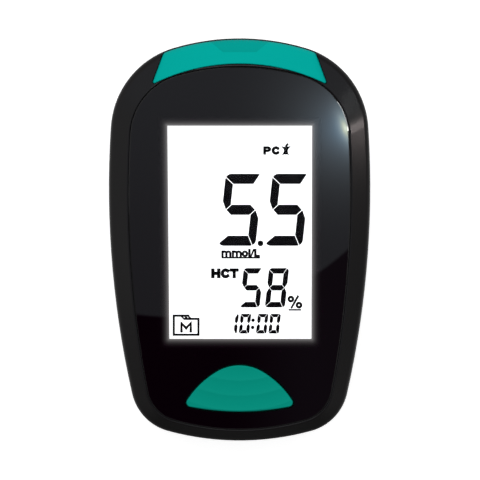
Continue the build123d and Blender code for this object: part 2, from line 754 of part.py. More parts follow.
with BuildPart() as strip_guide:
    guide_y = BODY.top - GUIDE_FROM_TOP
    guide_end_y = BODY.top
    guide_z = brow_z(guide_y) - PORT_INSET - GUIDE_DEPTH
    guide_end_z = guide_z - GUIDE_FROM_TOP * math.tan(math.radians(GUIDE_FLOOR_ANGLE))
    with BuildSketch(Plane.YZ):
        Polygon(
            (guide_y, guide_z), (guide_end_y, guide_end_z),
            (guide_end_y, rim_z), (guide_y, rim_z),
            align=None,
        )
    extrude(amount=PORT_BASE_WIDTH / 2, both=True)
    half_flare = GUIDE_WIDTH / 2 + GUIDE_FROM_TOP * math.tan(math.radians(GUIDE_SIDE_ANGLE))
    with BuildSketch(Plane.XY.offset(guide_end_z)):
        Polygon(
            (-GUIDE_WIDTH / 2, guide_y), (GUIDE_WIDTH / 2, guide_y),
            (half_flare, guide_end_y), (-half_flare, guide_end_y),
            align=None,
        )
    extrude(amount=rim_z - guide_end_z, mode=Mode.INTERSECT)

with BuildPart() as strip_port_cover:
    cover_base_z = PARTING_Z + PORT_GAP
    add(front_form(PORT_INSET))
    add(prism(port_outline(), cover_base_z, lens_top_z), mode=Mode.INTERSECT)
    sides = strip_port_cover.faces().filter_by(lambda face: abs(face.normal_at().Z) < 0.001)
    brow = sides.edges().filter_by(Axis.Z, reverse=True)
    chamfer(brow.filter_by_position(Axis.Z, cover_base_z + 0.1, lens_top_z), PORT_EDGE_CHAMFER)
    add(front_form(PORT_INSET + PORT_THICKNESS), mode=Mode.SUBTRACT)
    # tunnel that leads the strip to its connector
    with BuildSketch(Plane.XZ.offset(-tunnel_start_y)):
        with Locations((0, strip_z)):
            RectangleRounded(STRIP_SLOT_WIDTH + 2 * TUNNEL_WALL, tunnel_height, 0.4)
    extrude(amount=-(cover_face_y - PORT_THICKNESS / 2 - tunnel_start_y))
    with BuildSketch(Plane.XZ.offset(-tunnel_start_y)):
        with Locations((0, strip_z)):
            Rectangle(STRIP_SLOT_WIDTH, STRIP_SLOT_HEIGHT)
    extrude(amount=-(BODY.top - tunnel_start_y), mode=Mode.SUBTRACT)
    # flared mouth
    with BuildSketch(Plane.XZ.offset(-(cover_face_y - STRIP_MOUTH_CHAMFER))):
        with Locations((0, strip_z)):
            Rectangle(STRIP_SLOT_WIDTH, STRIP_SLOT_HEIGHT)
    with BuildSketch(Plane.XZ.offset(-(cover_face_y + STRIP_MOUTH_CHAMFER))):
        with Locations((0, strip_z)):
            Rectangle(
                STRIP_SLOT_WIDTH + 4 * STRIP_MOUTH_CHAMFER,
                STRIP_SLOT_HEIGHT + 4 * STRIP_MOUTH_CHAMFER,
            )
    loft(mode=Mode.SUBTRACT)
    # flared guide in the brow, over the slot
    add(strip_guide.part, mode=Mode.SUBTRACT)
export(strip_port_cover, "strip_port_cover")

# ---------------------------------------------------------------- main button

cap_top_z = lens_top_z + BUTTON_PROUD
flange_top_z = deck_bottom_z - 0.05
flange_z = flange_top_z - BUTTON_FLANGE_THICKNESS
dome_top_z = board_top_z + DOME_HEIGHT
ripple_count = math.ceil((button_apex_y - button_base_y + BUTTON_SAG) / RIPPLE_PITCH) + 1

# Waved crown: shallow scallops ringed about a point above the button
with BuildPart() as button_crown:
    first_radius = RIPPLE_CENTRE_ABOVE_APEX - RIPPLE_PITCH
    with BuildSketch(Plane.XZ.offset(-ripple_centre_y)) as crown_profile:
        with BuildLine():
            for ring in range(ripple_count + 2):
                ring_x = first_radius + ring * RIPPLE_PITCH
                ThreePointArc(
                    (ring_x, cap_top_z),
                    (ring_x + RIPPLE_PITCH / 2, cap_top_z - RIPPLE_DEPTH),
                    (ring_x + RIPPLE_PITCH, cap_top_z),
                )
            last_x = first_radius + (ripple_count + 2) * RIPPLE_PITCH
            Polyline(
                (last_x, cap_top_z), (last_x, flange_z), (first_radius, flange_z),
                (first_radius, cap_top_z),
            )
        make_face()
    revolve(axis=Axis((0, ripple_centre_y, 0), (0, 0, 1)))

with BuildPart() as main_button:
    with BuildSketch(Plane.XY.offset(flange_z)):
        add(button_outline())
    extrude(amount=cap_top_z - flange_z)
    fillet(main_button.faces().sort_by(Axis.Z)[-1].edges(), BUTTON_EDGE_RADIUS)
    add(button_crown.part, mode=Mode.INTERSECT)
    with BuildSketch(Plane.XY.offset(flange_z)):
        add(button_outline(BUTTON_FLANGE_WIDTH))
    extrude(amount=BUTTON_FLANGE_THICKNESS)
    # hollow underside with a stem down to the dome
    with BuildSketch(Plane.XY.offset(flange_z)):
        add(button_outline(-BUTTON_SKIN))
    extrude(amount=cap_top_z - BUTTON_SKIN - RIPPLE_DEPTH - flange_z, mode=Mode.SUBTRACT)
    with BuildSketch(Plane.XY.offset(dome_top_z)):
        with Locations((0, button_stem_y)):
            Circle(BUTTON_STEM_DIAMETER / 2)
    extrude(amount=cap_top_z - BUTTON_SKIN - dome_top_z)
export(main_button, "main_button")

with BuildPart() as button_dome:
    with BuildSketch(Plane.XZ.offset(-button_stem_y)):
        with BuildLine():
            foot = DOME_DIAMETER / 2
            crown = BUTTON_STEM_DIAMETER / 2
            Polyline(
                (foot, board_top_z), (foot, board_top_z + DOME_SKIN),
                (crown + DOME_SKIN, dome_top_z - DOME_SKIN / 2), (crown, dome_top_z), (0, dome_top_z),
                (0, dome_top_z - 2 * DOME_SKIN), (crown, dome_top_z - 2 * DOME_SKIN),
                (foot - 2 * DOME_SKIN, board_top_z), (foot, board_top_z),
            )
        make_face()
    revolve(axis=Axis((0, button_stem_y, 0), (0, 0, 1)))
export(button_dome, "button_dome")

# ---------------------------------------------------------------- display module

display_z_order = {
    "lcd_rear_glass": (rear_glass_z, rear_glass_top_y),
    "lcd_front_glass": (front_glass_z, front_glass_top_y),
}
for glass_name, (glass_z, glass_top_y) in display_z_order.items():
    with BuildPart() as glass:
        with BuildSketch(Plane.XY.offset(glass_z)):
            with Locations((0, (glass_bottom_y + glass_top_y) / 2)):
                Rectangle(glass_width, glass_top_y - glass_bottom_y)
        extrude(amount=GLASS_THICKNESS)
    export(glass, glass_name)

with BuildPart() as backlight_panel:
    with BuildSketch(Plane.XY.offset(backlight_z)):
        with Locations((0, window_y)):
            RectangleRounded(
                glass_width - 2 * FRAME_GAP, window_height + 2 * GLASS_MARGIN - 2 * FRAME_GAP, 0.8
            )
    extrude(amount=BACKLIGHT_THICKNESS)
export(backlight_panel, "backlight_panel")

with BuildPart() as lcd_gasket:
    with BuildSketch(Plane.XY.offset(gasket_z)):
        with Locations((0, window_y)):
            Rectangle(
                WINDOW_WIDTH + WINDOW_OVERLAP + 2 * GASKET_WIDTH,
                window_height + WINDOW_OVERLAP + 2 * GASKET_WIDTH,
            )
            Rectangle(
                WINDOW_WIDTH + WINDOW_OVERLAP, window_height + WINDOW_OVERLAP, mode=Mode.SUBTRACT
            )
    extrude(amount=GASKET_THICKNESS)
export(lcd_gasket, "lcd_gasket")

zebra_y = rear_glass_top_y + CONTACT_LEDGE / 2
with BuildPart() as zebra_connector:
    with BuildSketch(Plane.XY.offset(board_top_z)):
        with Locations((0, zebra_y)):
            Rectangle(ZEBRA_LENGTH, ZEBRA_WIDTH)
    extrude(amount=front_glass_z - board_top_z)
export(zebra_connector, "zebra_connector")

frame_y = (glass_bottom_y + front_glass_top_y) / 2
frame_inner_width = glass_width + 2 * FRAME_GAP
frame_inner_length = front_glass_top_y - glass_bottom_y + 2 * FRAME_GAP
frame_pins = [
    (side * frame_inner_width / 2, frame_y + end * (frame_inner_length / 2 - 4))
    for side in (-1, 1)
    for end in (-1, 1)
]
with BuildPart() as lcd_frame:
    with BuildSketch(Plane.XY.offset(board_top_z)):
        with Locations((0, frame_y)):
            RectangleRounded(
                frame_inner_width + 2 * FRAME_WALL, frame_inner_length + 2 * FRAME_WALL, 1.2
            )
            Rectangle(frame_inner_width, frame_inner_length, mode=Mode.SUBTRACT)
    extrude(amount=front_glass_z + GLASS_THICKNESS / 2 - board_top_z)
    # shelf under the rear glass's edges and the bar that parts it from the zebra connector
    with BuildSketch(Plane.XY.offset(board_top_z)):
        with Locations((0, frame_y)):
            Rectangle(frame_inner_width, frame_inner_length)
        with Locations((0, window_y)):
            Rectangle(
                glass_width - 2 * FRAME_SHELF, window_height + 2 * GLASS_MARGIN - 2 * FRAME_SHELF,
                mode=Mode.SUBTRACT,
            )
        with Locations((0, zebra_y)):
            Rectangle(ZEBRA_LENGTH + 2 * FRAME_GAP, ZEBRA_WIDTH + 2 * FRAME_GAP, mode=Mode.SUBTRACT)
    extrude(amount=BACKLIGHT_GAP)
    # locating pins into the board
    with BuildSketch(Plane.XY.offset(board_top_z - FRAME_PIN_LENGTH)):
        with Locations(*frame_pins):
            Circle(FRAME_PIN_DIAMETER / 2)
    extrude(amount=FRAME_PIN_LENGTH + BACKLIGHT_GAP)
export(lcd_frame, "lcd_frame")

# ---------------------------------------------------------------- circuit board and what it carries

with BuildPart() as main_board:
    with BuildSketch(Plane.XY.offset(board_bottom_z)):
        add(egg(BODY, BOARD_INSET))
        with Locations(*screw_points):
            Circle(BOARD_HOLE_DIAMETER / 2, mode=Mode.SUBTRACT)
        with Locations(*frame_pins):
            Circle(FRAME_PIN_DIAMETER / 2 + 0.1, mode=Mode.SUBTRACT)
    extrude(amount=BOARD_THICKNESS)
export(main_board, "main_board")

with BuildPart() as controller_chips:
    with BuildSketch(Plane.XY.offset(board_bottom_z - CHIP_HEIGHT)):
        for x, y, width, length in CHIPS:
            with Locations((x, y)):
                RectangleRounded(width, length, 0.3)
    extrude(amount=CHIP_HEIGHT)
export(controller_chips, "controller_chips")

with BuildPart() as buzzer:
    with BuildSketch(Plane.XY.offset(board_bottom_z - BUZZER_HEIGHT)):
        with Locations((buzzer_x, buzzer_y)):
            Circle(BUZZER_DIAMETER / 2)
            Circle(0.8, mode=Mode.SUBTRACT)
    extrude(amount=BUZZER_HEIGHT)
export(buzzer, "buzzer")

with BuildPart() as port_led:
    with BuildSketch(Plane.XY.offset(board_bottom_z - LED_SIZE / 2)):
        with Locations((CONNECTOR_WIDTH / 2 + LED_SIZE, connector_end_y - LED_SIZE / 2)):
            Rectangle(LED_SIZE, LED_SIZE)
    extrude(amount=LED_SIZE / 2)
export(port_led, "port_led")

coil_start_y = SPRING_WIRE / 2 + SPRING_END_GAP
coil_height = SPRING_LENGTH - 2 * coil_start_y
finger_x = [(i - (CONTACT_FINGERS - 1) / 2) * FINGER_PITCH for i in range(CONTACT_FINGERS)]
connector_y = (connector_start_y + connector_end_y) / 2
connector_z = board_bottom_z - CONNECTOR_HEIGHT
with BuildPart() as strip_connector:
    with BuildSketch(Plane.XY.offset(connector_z)):
        with Locations((0, connector_y)):
            Rectangle(CONNECTOR_WIDTH, CONNECTOR_LENGTH)
    extrude(amount=CONNECTOR_HEIGHT)
    # slot that the strip slides into
    with BuildSketch(Plane.XZ.offset(-connector_end_y)):
        with Locations((0, strip_z)):
            Rectangle(STRIP_SLOT_WIDTH, STRIP_SLOT_HEIGHT)
    extrude(amount=CONNECTOR_LENGTH - BAY_WALL, mode=Mode.SUBTRACT)
    # channel of the ejector's pusher
    with BuildSketch(Plane.XY.offset(connector_z)):
        with Locations((0, connector_y)):
            Rectangle(PUSHER_WIDTH + 6 * EJECTOR_GAP, CONNECTOR_LENGTH)
    extrude(amount=strip_z + STRIP_SLOT_HEIGHT / 2 - connector_z, mode=Mode.SUBTRACT)
    # grooves of the contact fingers, open to the board
    with BuildSketch(Plane.XY.offset(strip_z)):
        with Locations(*[(x, connector_start_y + CONNECTOR_LENGTH * 0.4) for x in finger_x]):
            Rectangle(FINGER_WIDTH + 2 * EJECTOR_GAP, CONNECTOR_LENGTH * 0.8)
    extrude(amount=board_bottom_z - strip_z, mode=Mode.SUBTRACT)
export(strip_connector, "strip_connector")

with BuildPart() as contact_finger:
    finger_top_z = board_bottom_z - FINGER_THICKNESS
    finger_root_y = connector_start_y + CONNECTOR_LENGTH * 0.3
    finger_bend_y = connector_start_y + CONNECTOR_LENGTH * 0.6
    finger_tip_y = connector_start_y + CONNECTOR_LENGTH * 0.75
    with BuildSketch(Plane.YZ):
        with BuildLine():
            Polyline(
                (connector_start_y, board_bottom_z),
                (finger_root_y, board_bottom_z),
                (finger_bend_y, strip_z + STRIP_SLOT_HEIGHT / 4 + FINGER_THICKNESS),
                (finger_tip_y, strip_z + STRIP_SLOT_HEIGHT / 2 + 2 * FINGER_THICKNESS),
                (finger_tip_y, strip_z + STRIP_SLOT_HEIGHT / 2 + FINGER_THICKNESS),
                (finger_bend_y, strip_z + STRIP_SLOT_HEIGHT / 4),
                (finger_root_y, finger_top_z),
                (connector_start_y, finger_top_z),
                (connector_start_y, board_bottom_z),
            )
        make_face()
    extrude(amount=FINGER_WIDTH / 2, both=True)

with BuildPart() as strip_contacts:
    with Locations(*[(x, 0, 0) for x in finger_x]):
        add(contact_finger.part)
export(strip_contacts, "strip_contacts")

with BuildPart() as set_switch:
    with BuildSketch(Plane.XY.offset(switch_z)):
        with Locations((0, set_y)):
            RectangleRounded(SWITCH_SIZE, SWITCH_SIZE, 0.5)
    extrude(amount=board_bottom_z - switch_z)
    with BuildSketch(Plane.XY.offset(switch_z)):
        with Locations((0, set_y)):
            Circle(PLUNGER_DIAMETER / 2 + PLUNGER_GAP)
    extrude(amount=PLUNGER_LENGTH, mode=Mode.SUBTRACT)
export(set_switch, "set_switch")

with BuildPart() as set_plunger:
    with BuildSketch(Plane.XY.offset(set_top_z)):
        with Locations((0, set_y)):
            Circle(PLUNGER_DIAMETER / 2)
    extrude(amount=PLUNGER_LENGTH)
export(set_plunger, "set_plunger")

with BuildPart() as data_port:
    port_axis_z = board_top_z + USB_HEIGHT / 2
    with BuildSketch(Plane.XZ.offset(-usb_start_y)):
        with Locations((0, port_axis_z)):
            SlotOverall(USB_WIDTH, USB_HEIGHT)
    extrude(amount=-USB_LENGTH)
    with BuildSketch(Plane.XZ.offset(-usb_start_y)):
        with Locations((0, port_axis_z)):
            SlotOverall(USB_WIDTH - 2 * USB_SKIN, USB_HEIGHT - 2 * USB_SKIN)
    extrude(amount=-(USB_LENGTH - USB_SKIN), mode=Mode.SUBTRACT)
    with BuildSketch(Plane.XZ.offset(-(usb_start_y + 1))):
        with Locations((0, port_axis_z)):
            Rectangle(USB_WIDTH * 0.55, 0.5)
    extrude(amount=-(USB_LENGTH - 1))
export(data_port, "data_port")

# ---------------------------------------------------------------- cells and their contacts

left_cell_y = BAY_START_Y + CONTACT_THICKNESS + SPRING_LENGTH
right_cell_y = BAY_START_Y + CONTACT_THICKNESS + DIMPLE_HEIGHT
cell_places = {
    "battery_left": (-cell_x, left_cell_y, 1),
    "battery_right": (cell_x, right_cell_y + CELL_LENGTH, -1),
}
for cell_name, (x, flat_end_y, direction) in cell_places.items():
    with BuildPart() as cell:
        with BuildSketch(Plane((x, flat_end_y, cell_z), x_dir=(1, 0, 0), z_dir=(0, direction, 0))):
            Circle(CELL_DIAMETER / 2)
        extrude(amount=CELL_LENGTH - CELL_NUB_LENGTH)
        fillet(cell.edges().filter_by(GeomType.CIRCLE), 0.4)
        nub_y = flat_end_y + direction * (CELL_LENGTH - CELL_NUB_LENGTH)
        with BuildSketch(Plane((x, nub_y, cell_z), x_dir=(1, 0, 0), z_dir=(0, direction, 0))):
            Circle(CELL_NUB_DIAMETER / 2)
        extrude(amount=CELL_NUB_LENGTH)
    export(cell, cell_name)


def contact_plate(name, x_centres, wall_y, direction, dimples):
    """A pressed contact against a bay's end wall, with a dimple where it meets a cell's nub."""
    with BuildPart() as plate:
        wall_plane = Plane((0, wall_y, cell_z), x_dir=(1, 0, 0), z_dir=(0, direction, 0))
        with BuildSketch(wall_plane) as outline:
            for x in x_centres:
                with Locations(wall_plane.to_local_coords(Vector(x, wall_y, cell_z))):
                    RectangleRounded(CONTACT_WIDTH, CONTACT_HEIGHT, 1.0)
            if len(x_centres) > 1:
                with Locations(wall_plane.to_local_coords(Vector(0, wall_y, bridge_z))):
                    Rectangle(2 * cell_x, BRIDGE_HEIGHT)
        extrude(amount=CONTACT_THICKNESS)
        for x in dimples:
            dimple_y = wall_y + direction * CONTACT_THICKNESS
            with BuildSketch(Plane((x, dimple_y, cell_z), x_dir=(1, 0, 0), z_dir=(0, direction, 0))):
                Circle(DIMPLE_DIAMETER / 2)
            extrude(amount=DIMPLE_HEIGHT, taper=35)
    export(plate, name)


bridge_z = cell_z - CONTACT_HEIGHT / 2 + BRIDGE_HEIGHT / 2
contact_plate("contact_bridge", (-cell_x, cell_x), BAY_START_Y, 1, (cell_x,))
contact_plate("contact_positive", (-cell_x,), bay_end_y, -1, (-cell_x,))
contact_plate("contact_negative", (cell_x,), bay_end_y, -1, ())

# Springs, at the flat end of each cell
with BuildPart() as cell_spring:
    with BuildLine() as cell_wire:
        Helix(
            pitch=coil_height / SPRING_TURNS, height=coil_height,
            radius=(SPRING_DIAMETER - SPRING_WIRE) / 2, center=(0, coil_start_y, 0),
            direction=(0, 1, 0),
        )
    with BuildSketch(Plane(cell_wire.line @ 0, z_dir=cell_wire.line % 0)):
        Circle(SPRING_WIRE / 2)
    sweep(is_frenet=True)

with BuildPart() as battery_springs:
    with Locations(
        Location((-cell_x, BAY_START_Y + CONTACT_THICKNESS, cell_z)),
        Location((cell_x, bay_end_y - CONTACT_THICKNESS, cell_z), (0, 0, 180)),
    ):
        add(cell_spring.part)
export(battery_springs, "battery_springs")

# ---------------------------------------------------------------- battery door

with BuildPart() as battery_door:
    with BuildSketch(Plane.XY.offset(DOOR_RECESS)):
        with Locations((0, door_y)):
            RectangleRounded(DOOR_WIDTH, door_length, DOOR_CORNER_RADIUS)
    extrude(amount=DOOR_THICKNESS)
    fillet(battery_door.faces().sort_by(Axis.Z)[0].edges(), DOOR_EDGE_RADIUS)
    # stiffening rib between the cells
    rib_end_y = bay_end_y - LATCH_LENGTH
    with BuildSketch(Plane.XY.offset(door_top_z)):
        with Locations((0, (BAY_START_Y + 6 + rib_end_y) / 2)):
            Rectangle(DOOR_RIB_WIDTH, rib_end_y - BAY_START_Y - 6)
    extrude(amount=DOOR_RIB_HEIGHT)
    # hooks that turn under the rim
    with BuildSketch(Plane.XY.offset(door_top_z)):
        with Locations(*[(x, y + HOOK_THICKNESS / 2) for x, y in hook_points]):
            Rectangle(HOOK_WIDTH, HOOK_THICKNESS)
    extrude(amount=DOOR_RECESS + DOOR_GAP + HOOK_THICKNESS)
    with BuildSketch(Plane.XY.offset(door_top_z + DOOR_RECESS + DOOR_GAP)):
        with Locations(*[(x, y - HOOK_LENGTH / 2) for x, y in hook_points]):
            Rectangle(HOOK_WIDTH, HOOK_LENGTH)
    extrude(amount=HOOK_THICKNESS)
    # latch tongue: two slits, a nose inside and ridges outside
    latch_y = door_end_y - LATCH_LENGTH / 2
    slit_x = (LATCH_WIDTH + LATCH_SLIT) / 2
    with BuildSketch(Plane.XY):
        with Locations((-slit_x, latch_y), (slit_x, latch_y)):
            Rectangle(LATCH_SLIT, LATCH_LENGTH)
    extrude(amount=door_top_z, mode=Mode.SUBTRACT)
    with BuildSketch(Plane.XY.offset(door_top_z)):
        with Locations((0, door_end_y - LATCH_NOSE_THICKNESS / 2)):
            Rectangle(LATCH_WIDTH - 2, LATCH_NOSE_THICKNESS)
    extrude(amount=LATCH_NOSE_HEIGHT)
    with BuildSketch(Plane.XY.offset(DOOR_RECESS)):
        with Locations((0, latch_y)):
            with GridLocations(0, GRIP_PITCH, 1, GRIP_RIDGES):
                Rectangle(LATCH_WIDTH - 2, GRIP_PITCH / 2)
    extrude(amount=GRIP_DEPTH, mode=Mode.SUBTRACT)
export(battery_door, "battery_door")

# ---------------------------------------------------------------- set button

with BuildPart() as set_button:
    with BuildSketch(Plane.XY.offset(shelf_z - SET_PROUD)):
        with Locations((0, set_y)):
            Circle(SET_DIAMETER / 2)
    extrude(amount=set_top_z - shelf_z + SET_PROUD)
    fillet(set_button.edges().sort_by(Axis.Z)[0], 0.4)
    with BuildSketch(Plane.XY.offset(set_flange_z)):
        with Locations((0, set_y)):
            Circle(SET_DIAMETER / 2 + SET_FLANGE_WIDTH)
    extrude(amount=SET_FLANGE_THICKNESS)
export(set_button, "set_button")

# ---------------------------------------------------------------- strip ejector

slider_top_z = EJECTOR_POCKET_Z - EJECTOR_GAP
with BuildPart() as ejector_slider:
    with BuildSketch(Plane.XY.offset(slider_top_z - EJECTOR_HEIGHT)):
        with Locations((0, ejector_y)):
            RectangleRounded(EJECTOR_WIDTH, EJECTOR_LENGTH, EJECTOR_CORNER_RADIUS)
    extrude(amount=EJECTOR_HEIGHT)
    fillet(ejector_slider.faces().sort_by(Axis.Z)[0].edges(), EJECTOR_EDGE_RADIUS)
    with BuildSketch(Plane.XY.offset(slider_top_z - EJECTOR_HEIGHT)):
        with Locations((0, ejector_y)):
            with GridLocations(0, EJECTOR_RIDGE_PITCH, 1, EJECTOR_RIDGES):
                Rectangle(EJECTOR_WIDTH, EJECTOR_RIDGE_PITCH / 2)
    extrude(amount=EJECTOR_RIDGE_HEIGHT, mode=Mode.SUBTRACT)
    with BuildSketch(Plane.XY.offset(slider_top_z)):
        with Locations((0, ejector_y)):
            Rectangle(EJECTOR_NECK_WIDTH, EJECTOR_NECK_LENGTH)
    extrude(amount=carriage_z - slider_top_z)
export(ejector_slider, "ejector_slider")

with BuildPart() as ejector_carriage:
    with BuildSketch(Plane.XY.offset(carriage_z)):
        with Locations((0, ejector_y)):
            Rectangle(EJECTOR_WIDTH, CARRIAGE_LENGTH)
    extrude(amount=CARRIAGE_THICKNESS)
    with BuildSketch(Plane.XY.offset(carriage_top_z)):
        with Locations((0, pusher_y)):
            Rectangle(PUSHER_WIDTH, PUSHER_LENGTH)
    extrude(amount=strip_z + STRIP_SLOT_HEIGHT / 4 - carriage_top_z)
    # lug that the return spring pushes on
    with BuildSketch(Plane.XY.offset(carriage_top_z)):
        with Locations((RETURN_SPRING_X, carriage_end_y - RAIL_THICKNESS / 2)):
            Rectangle(RETURN_SPRING_DIAMETER, RAIL_THICKNESS)
    extrude(amount=RETURN_SPRING_DIAMETER + EJECTOR_GAP)
export(ejector_carriage, "ejector_carriage")

with BuildPart() as ejector_spring:
    spring_reach = spring_post_y - carriage_end_y - RETURN_SPRING_WIRE - 2 * SPRING_END_GAP
    with BuildLine() as wire:
        Helix(
            pitch=spring_reach / RETURN_SPRING_TURNS, height=spring_reach,
            radius=(RETURN_SPRING_DIAMETER - RETURN_SPRING_WIRE) / 2,
            center=(RETURN_SPRING_X, return_spring_y, return_spring_z),
            direction=(0, 1, 0),
        )
    with BuildSketch(Plane(wire.line @ 0, z_dir=wire.line % 0)):
        Circle(RETURN_SPRING_WIRE / 2)
    sweep(is_frenet=True)
export(ejector_spring, "ejector_spring")

# ---------------------------------------------------------------- screws

with BuildPart() as housing_screws:
    with BuildSketch(Plane.XY.offset(SCREW_SEAT_Z - SCREW_HEAD_HEIGHT)):
        with Locations(*screw_points):
            Circle(SCREW_HEAD_DIAMETER / 2)
    extrude(amount=SCREW_HEAD_HEIGHT)
    with BuildSketch(Plane.XY.offset(SCREW_SEAT_Z)):
        with Locations(*screw_points):
            Circle(SCREW_DIAMETER / 2)
    extrude(amount=SCREW_LENGTH)
    with BuildSketch(Plane.XY.offset(SCREW_SEAT_Z - SCREW_HEAD_HEIGHT)):
        with Locations(*screw_points):
            Rectangle(SCREW_HEAD_DIAMETER * 0.6, SCREW_CROSS_WIDTH)
            Rectangle(SCREW_CROSS_WIDTH, SCREW_HEAD_DIAMETER * 0.6)
    extrude(amount=SCREW_CROSS_DEPTH, mode=Mode.SUBTRACT)
export(housing_screws, "housing_screws")
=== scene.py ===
"""Finishes, lit display and studio for a handheld blood glucose meter, lying on its back."""

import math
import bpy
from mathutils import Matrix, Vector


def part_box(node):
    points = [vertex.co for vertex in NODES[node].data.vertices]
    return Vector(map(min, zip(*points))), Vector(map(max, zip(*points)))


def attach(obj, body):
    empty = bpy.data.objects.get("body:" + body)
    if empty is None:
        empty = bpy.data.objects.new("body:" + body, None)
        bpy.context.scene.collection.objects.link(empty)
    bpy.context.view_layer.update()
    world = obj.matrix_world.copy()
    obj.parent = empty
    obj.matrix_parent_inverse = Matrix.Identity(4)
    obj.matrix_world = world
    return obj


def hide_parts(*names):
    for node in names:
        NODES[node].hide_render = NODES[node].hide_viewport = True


bl_info = {
    "name": "Glucose Meter Finishes",
    "version": (1, 0, 0),
    "blender": (4, 5, 0),
    "location": "View3D > Sidebar > Meter",
    "description": "Dresses a packed glucose meter with its finishes, lit display and studio",
    "category": "Object",
}

import bmesh
import bpy
from mathutils import Matrix, Vector

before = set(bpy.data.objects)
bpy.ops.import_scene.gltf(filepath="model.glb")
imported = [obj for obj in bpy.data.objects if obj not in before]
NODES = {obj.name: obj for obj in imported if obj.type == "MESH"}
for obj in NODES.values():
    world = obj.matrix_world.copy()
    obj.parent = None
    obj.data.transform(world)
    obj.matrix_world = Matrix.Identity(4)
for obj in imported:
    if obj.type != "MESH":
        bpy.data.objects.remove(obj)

MM = 0.001
LENS_LOW, LENS_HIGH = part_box("display_lens")
GLASS_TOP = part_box("lcd_front_glass")[1].z
MASK_LOW, MASK_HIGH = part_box("lens_mask")
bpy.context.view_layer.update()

# Window in the black print: it leans and tapers a little, by a share of the way up
WINDOW_WIDTH = 34.0 * MM
WINDOW_HEIGHT = 50.55 * MM
WINDOW_X = 0.116 * MM
WINDOW_Y = 1.695 * MM
WINDOW_LEAN = -0.0033
WINDOW_TAPER = 0.00617
WINDOW = {
    "Half Width": WINDOW_WIDTH / 2, "Half Height": WINDOW_HEIGHT / 2, "Centre X": WINDOW_X,
    "Centre Y": WINDOW_Y, "Lean": WINDOW_LEAN, "Taper": WINDOW_TAPER,
}

# How far outside that window the clear plastic loses its clearness, and gains its full gloss
BACKING_EDGE = (0.8 * MM, 2.4 * MM)
GLOSS_EDGE = (-0.02 * MM, 0.02 * MM)

# The same opening in the carried-over print, and the lit film under it
HOLE_WIDTH = 34.5 * MM
HOLE_HEIGHT = 51.0 * MM
HOLE_Y = 1.6 * MM
FILM_MARGIN = 0.25 * MM
FILM_CORNER = 0.3 * MM

FILM_GAP = 0.02 * MM
FILM_THICKNESS = 0.1 * MM

# The display drawing's scale, where its middle lies, and its ink
DOT = 0.2384 * MM
DRAWING_X = 239.58
DRAWING_Y = 239.4
INK_THICKNESS = 0.03 * MM
FIGURE_SLANT = 0.108

# Faces of the print above the window's underside, and how closely it fits inside the window
PRINT_LOW = 0.02 * MM
PRINT_HIGH = 0.08 * MM
PRINT_FIT = (0.998, 0.9988)

# The print's hole for the main button: the box it lies in, and how much wider it is cut
BUTTON_HOLE_HALF_WIDTH = 14.5 * MM
BUTTON_HOLE_ENDS = (-42 * MM, -28 * MM)
BUTTON_HOLE_FIT = (1.004, 1.008)

# Strip guide in the port cover: its inner end, how it flares towards the edge, the softness of
# its outline and the share of the cover's colour that its painted shade keeps
GUIDE_Y = 44.5 * MM
GUIDE_HALF_WIDTH = 4.0 * MM
GUIDE_FLARE = 1.19
GUIDE_EDGE = (-0.1 * MM, 0.15 * MM)
GUIDE_PAINTED_SHADE = 0.87

# The cells: their axes beside and above the middle, the jacket's radius and softness of edge, the
# middle of each cell's length, and where its pale collar ends from there
CELL_AXIS_X = 5.4 * MM
CELL_AXIS_Z = 7.15 * MM
JACKET_RADIUS = 5.0 * MM
JACKET_EDGE = 0.02 * MM
JACKET_MIDDLE_Y = -13.9 * MM
JACKET_STAGGER = -1.75 * MM
COLLAR_END = (-12.1 * MM, -12.0 * MM)

# The round softbox overhead as the window mirrors it, in millimetres on the window: its middle
# and edge, near the edge a star with a small slanting core, and where it turns brighter, a haze
# begins and the room takes over
BOX_MIDDLE = (-16.0, 43.9)
BOX_EDGE = (61.6, 62.6)
STAR = (25.3, 26.6)
STAR_SPREAD = 5.8
CORE = (25.0, 26.5)
CORE_SPREAD = 0.8
CORE_SLANT = 0.29
CORE_SQUASH = 0.4
BRIGHTER = (-15.0, 45.0)
HAZE_EDGE = (-5.0, 18.0)
ROOM_EDGE = (60.0, 120.0)

# Levels that gloss sees: the softbox and the room from their dim side to their bright one, and
# what the star, its core, the haze and the low glow add
BOX_LEVELS = (0.28, 0.43)
ROOM_LEVELS = (0.08, 0.68)
STAR_LEVEL = 4.9
CORE_LEVEL = 16.0
HAZE_LEVEL = 0.065
GLOW_LEVEL = 0.6
DIM_ROOM = (0.05, 0.005, 0.037)

# Bearing of the glow beside the meter, and how fast it fades to both sides
GLOW_BEARING = 0.34
GLOW_RATE = 3.6

# The floor: half its side, its height and its tone
FLOOR_REACH = 4.0
FLOOR_Z = -0.2 * MM
FLOOR_TONE = 0.86

# How the floor looks in gloss, all of it painted: a painted shade round a spot beyond the meter's
# lower end that is darker up to its edge, a painted brighter part to the left, and a painted glow
# from some way out
DARK_SPOT_Y = -0.09
DARK_SPOT_EDGE = (0.035, 0.075)
DARK_SPOT_LEVEL = 0.33
LEFT_EDGE_X = (-0.03, -0.12)
LEFT_EDGE_Y = (-0.05, -0.01)
LEFT_LEVEL = 1.5
GLOW_EDGE = (0.25, 0.45)
FLOOR_GLOW_LEVEL = 0.8

# The plane whose width the camera's lens is set for, and where the camera stands over it
PLANE_Z = 15 * MM
CAMERA_X = 0.10 * MM
CAMERA_Y = -0.144 * MM

MID_GREY = (0.5, 0.5, 0.5, 1)

# Bars of each figure that are lit, one bit a bar, from the top one clockwise to the middle one
SEVEN_BAR_CODES = (0x3F, 0x06, 0x5B, 0x4F, 0x66, 0x6D, 0x7D, 0x07, 0x7F, 0x6F)


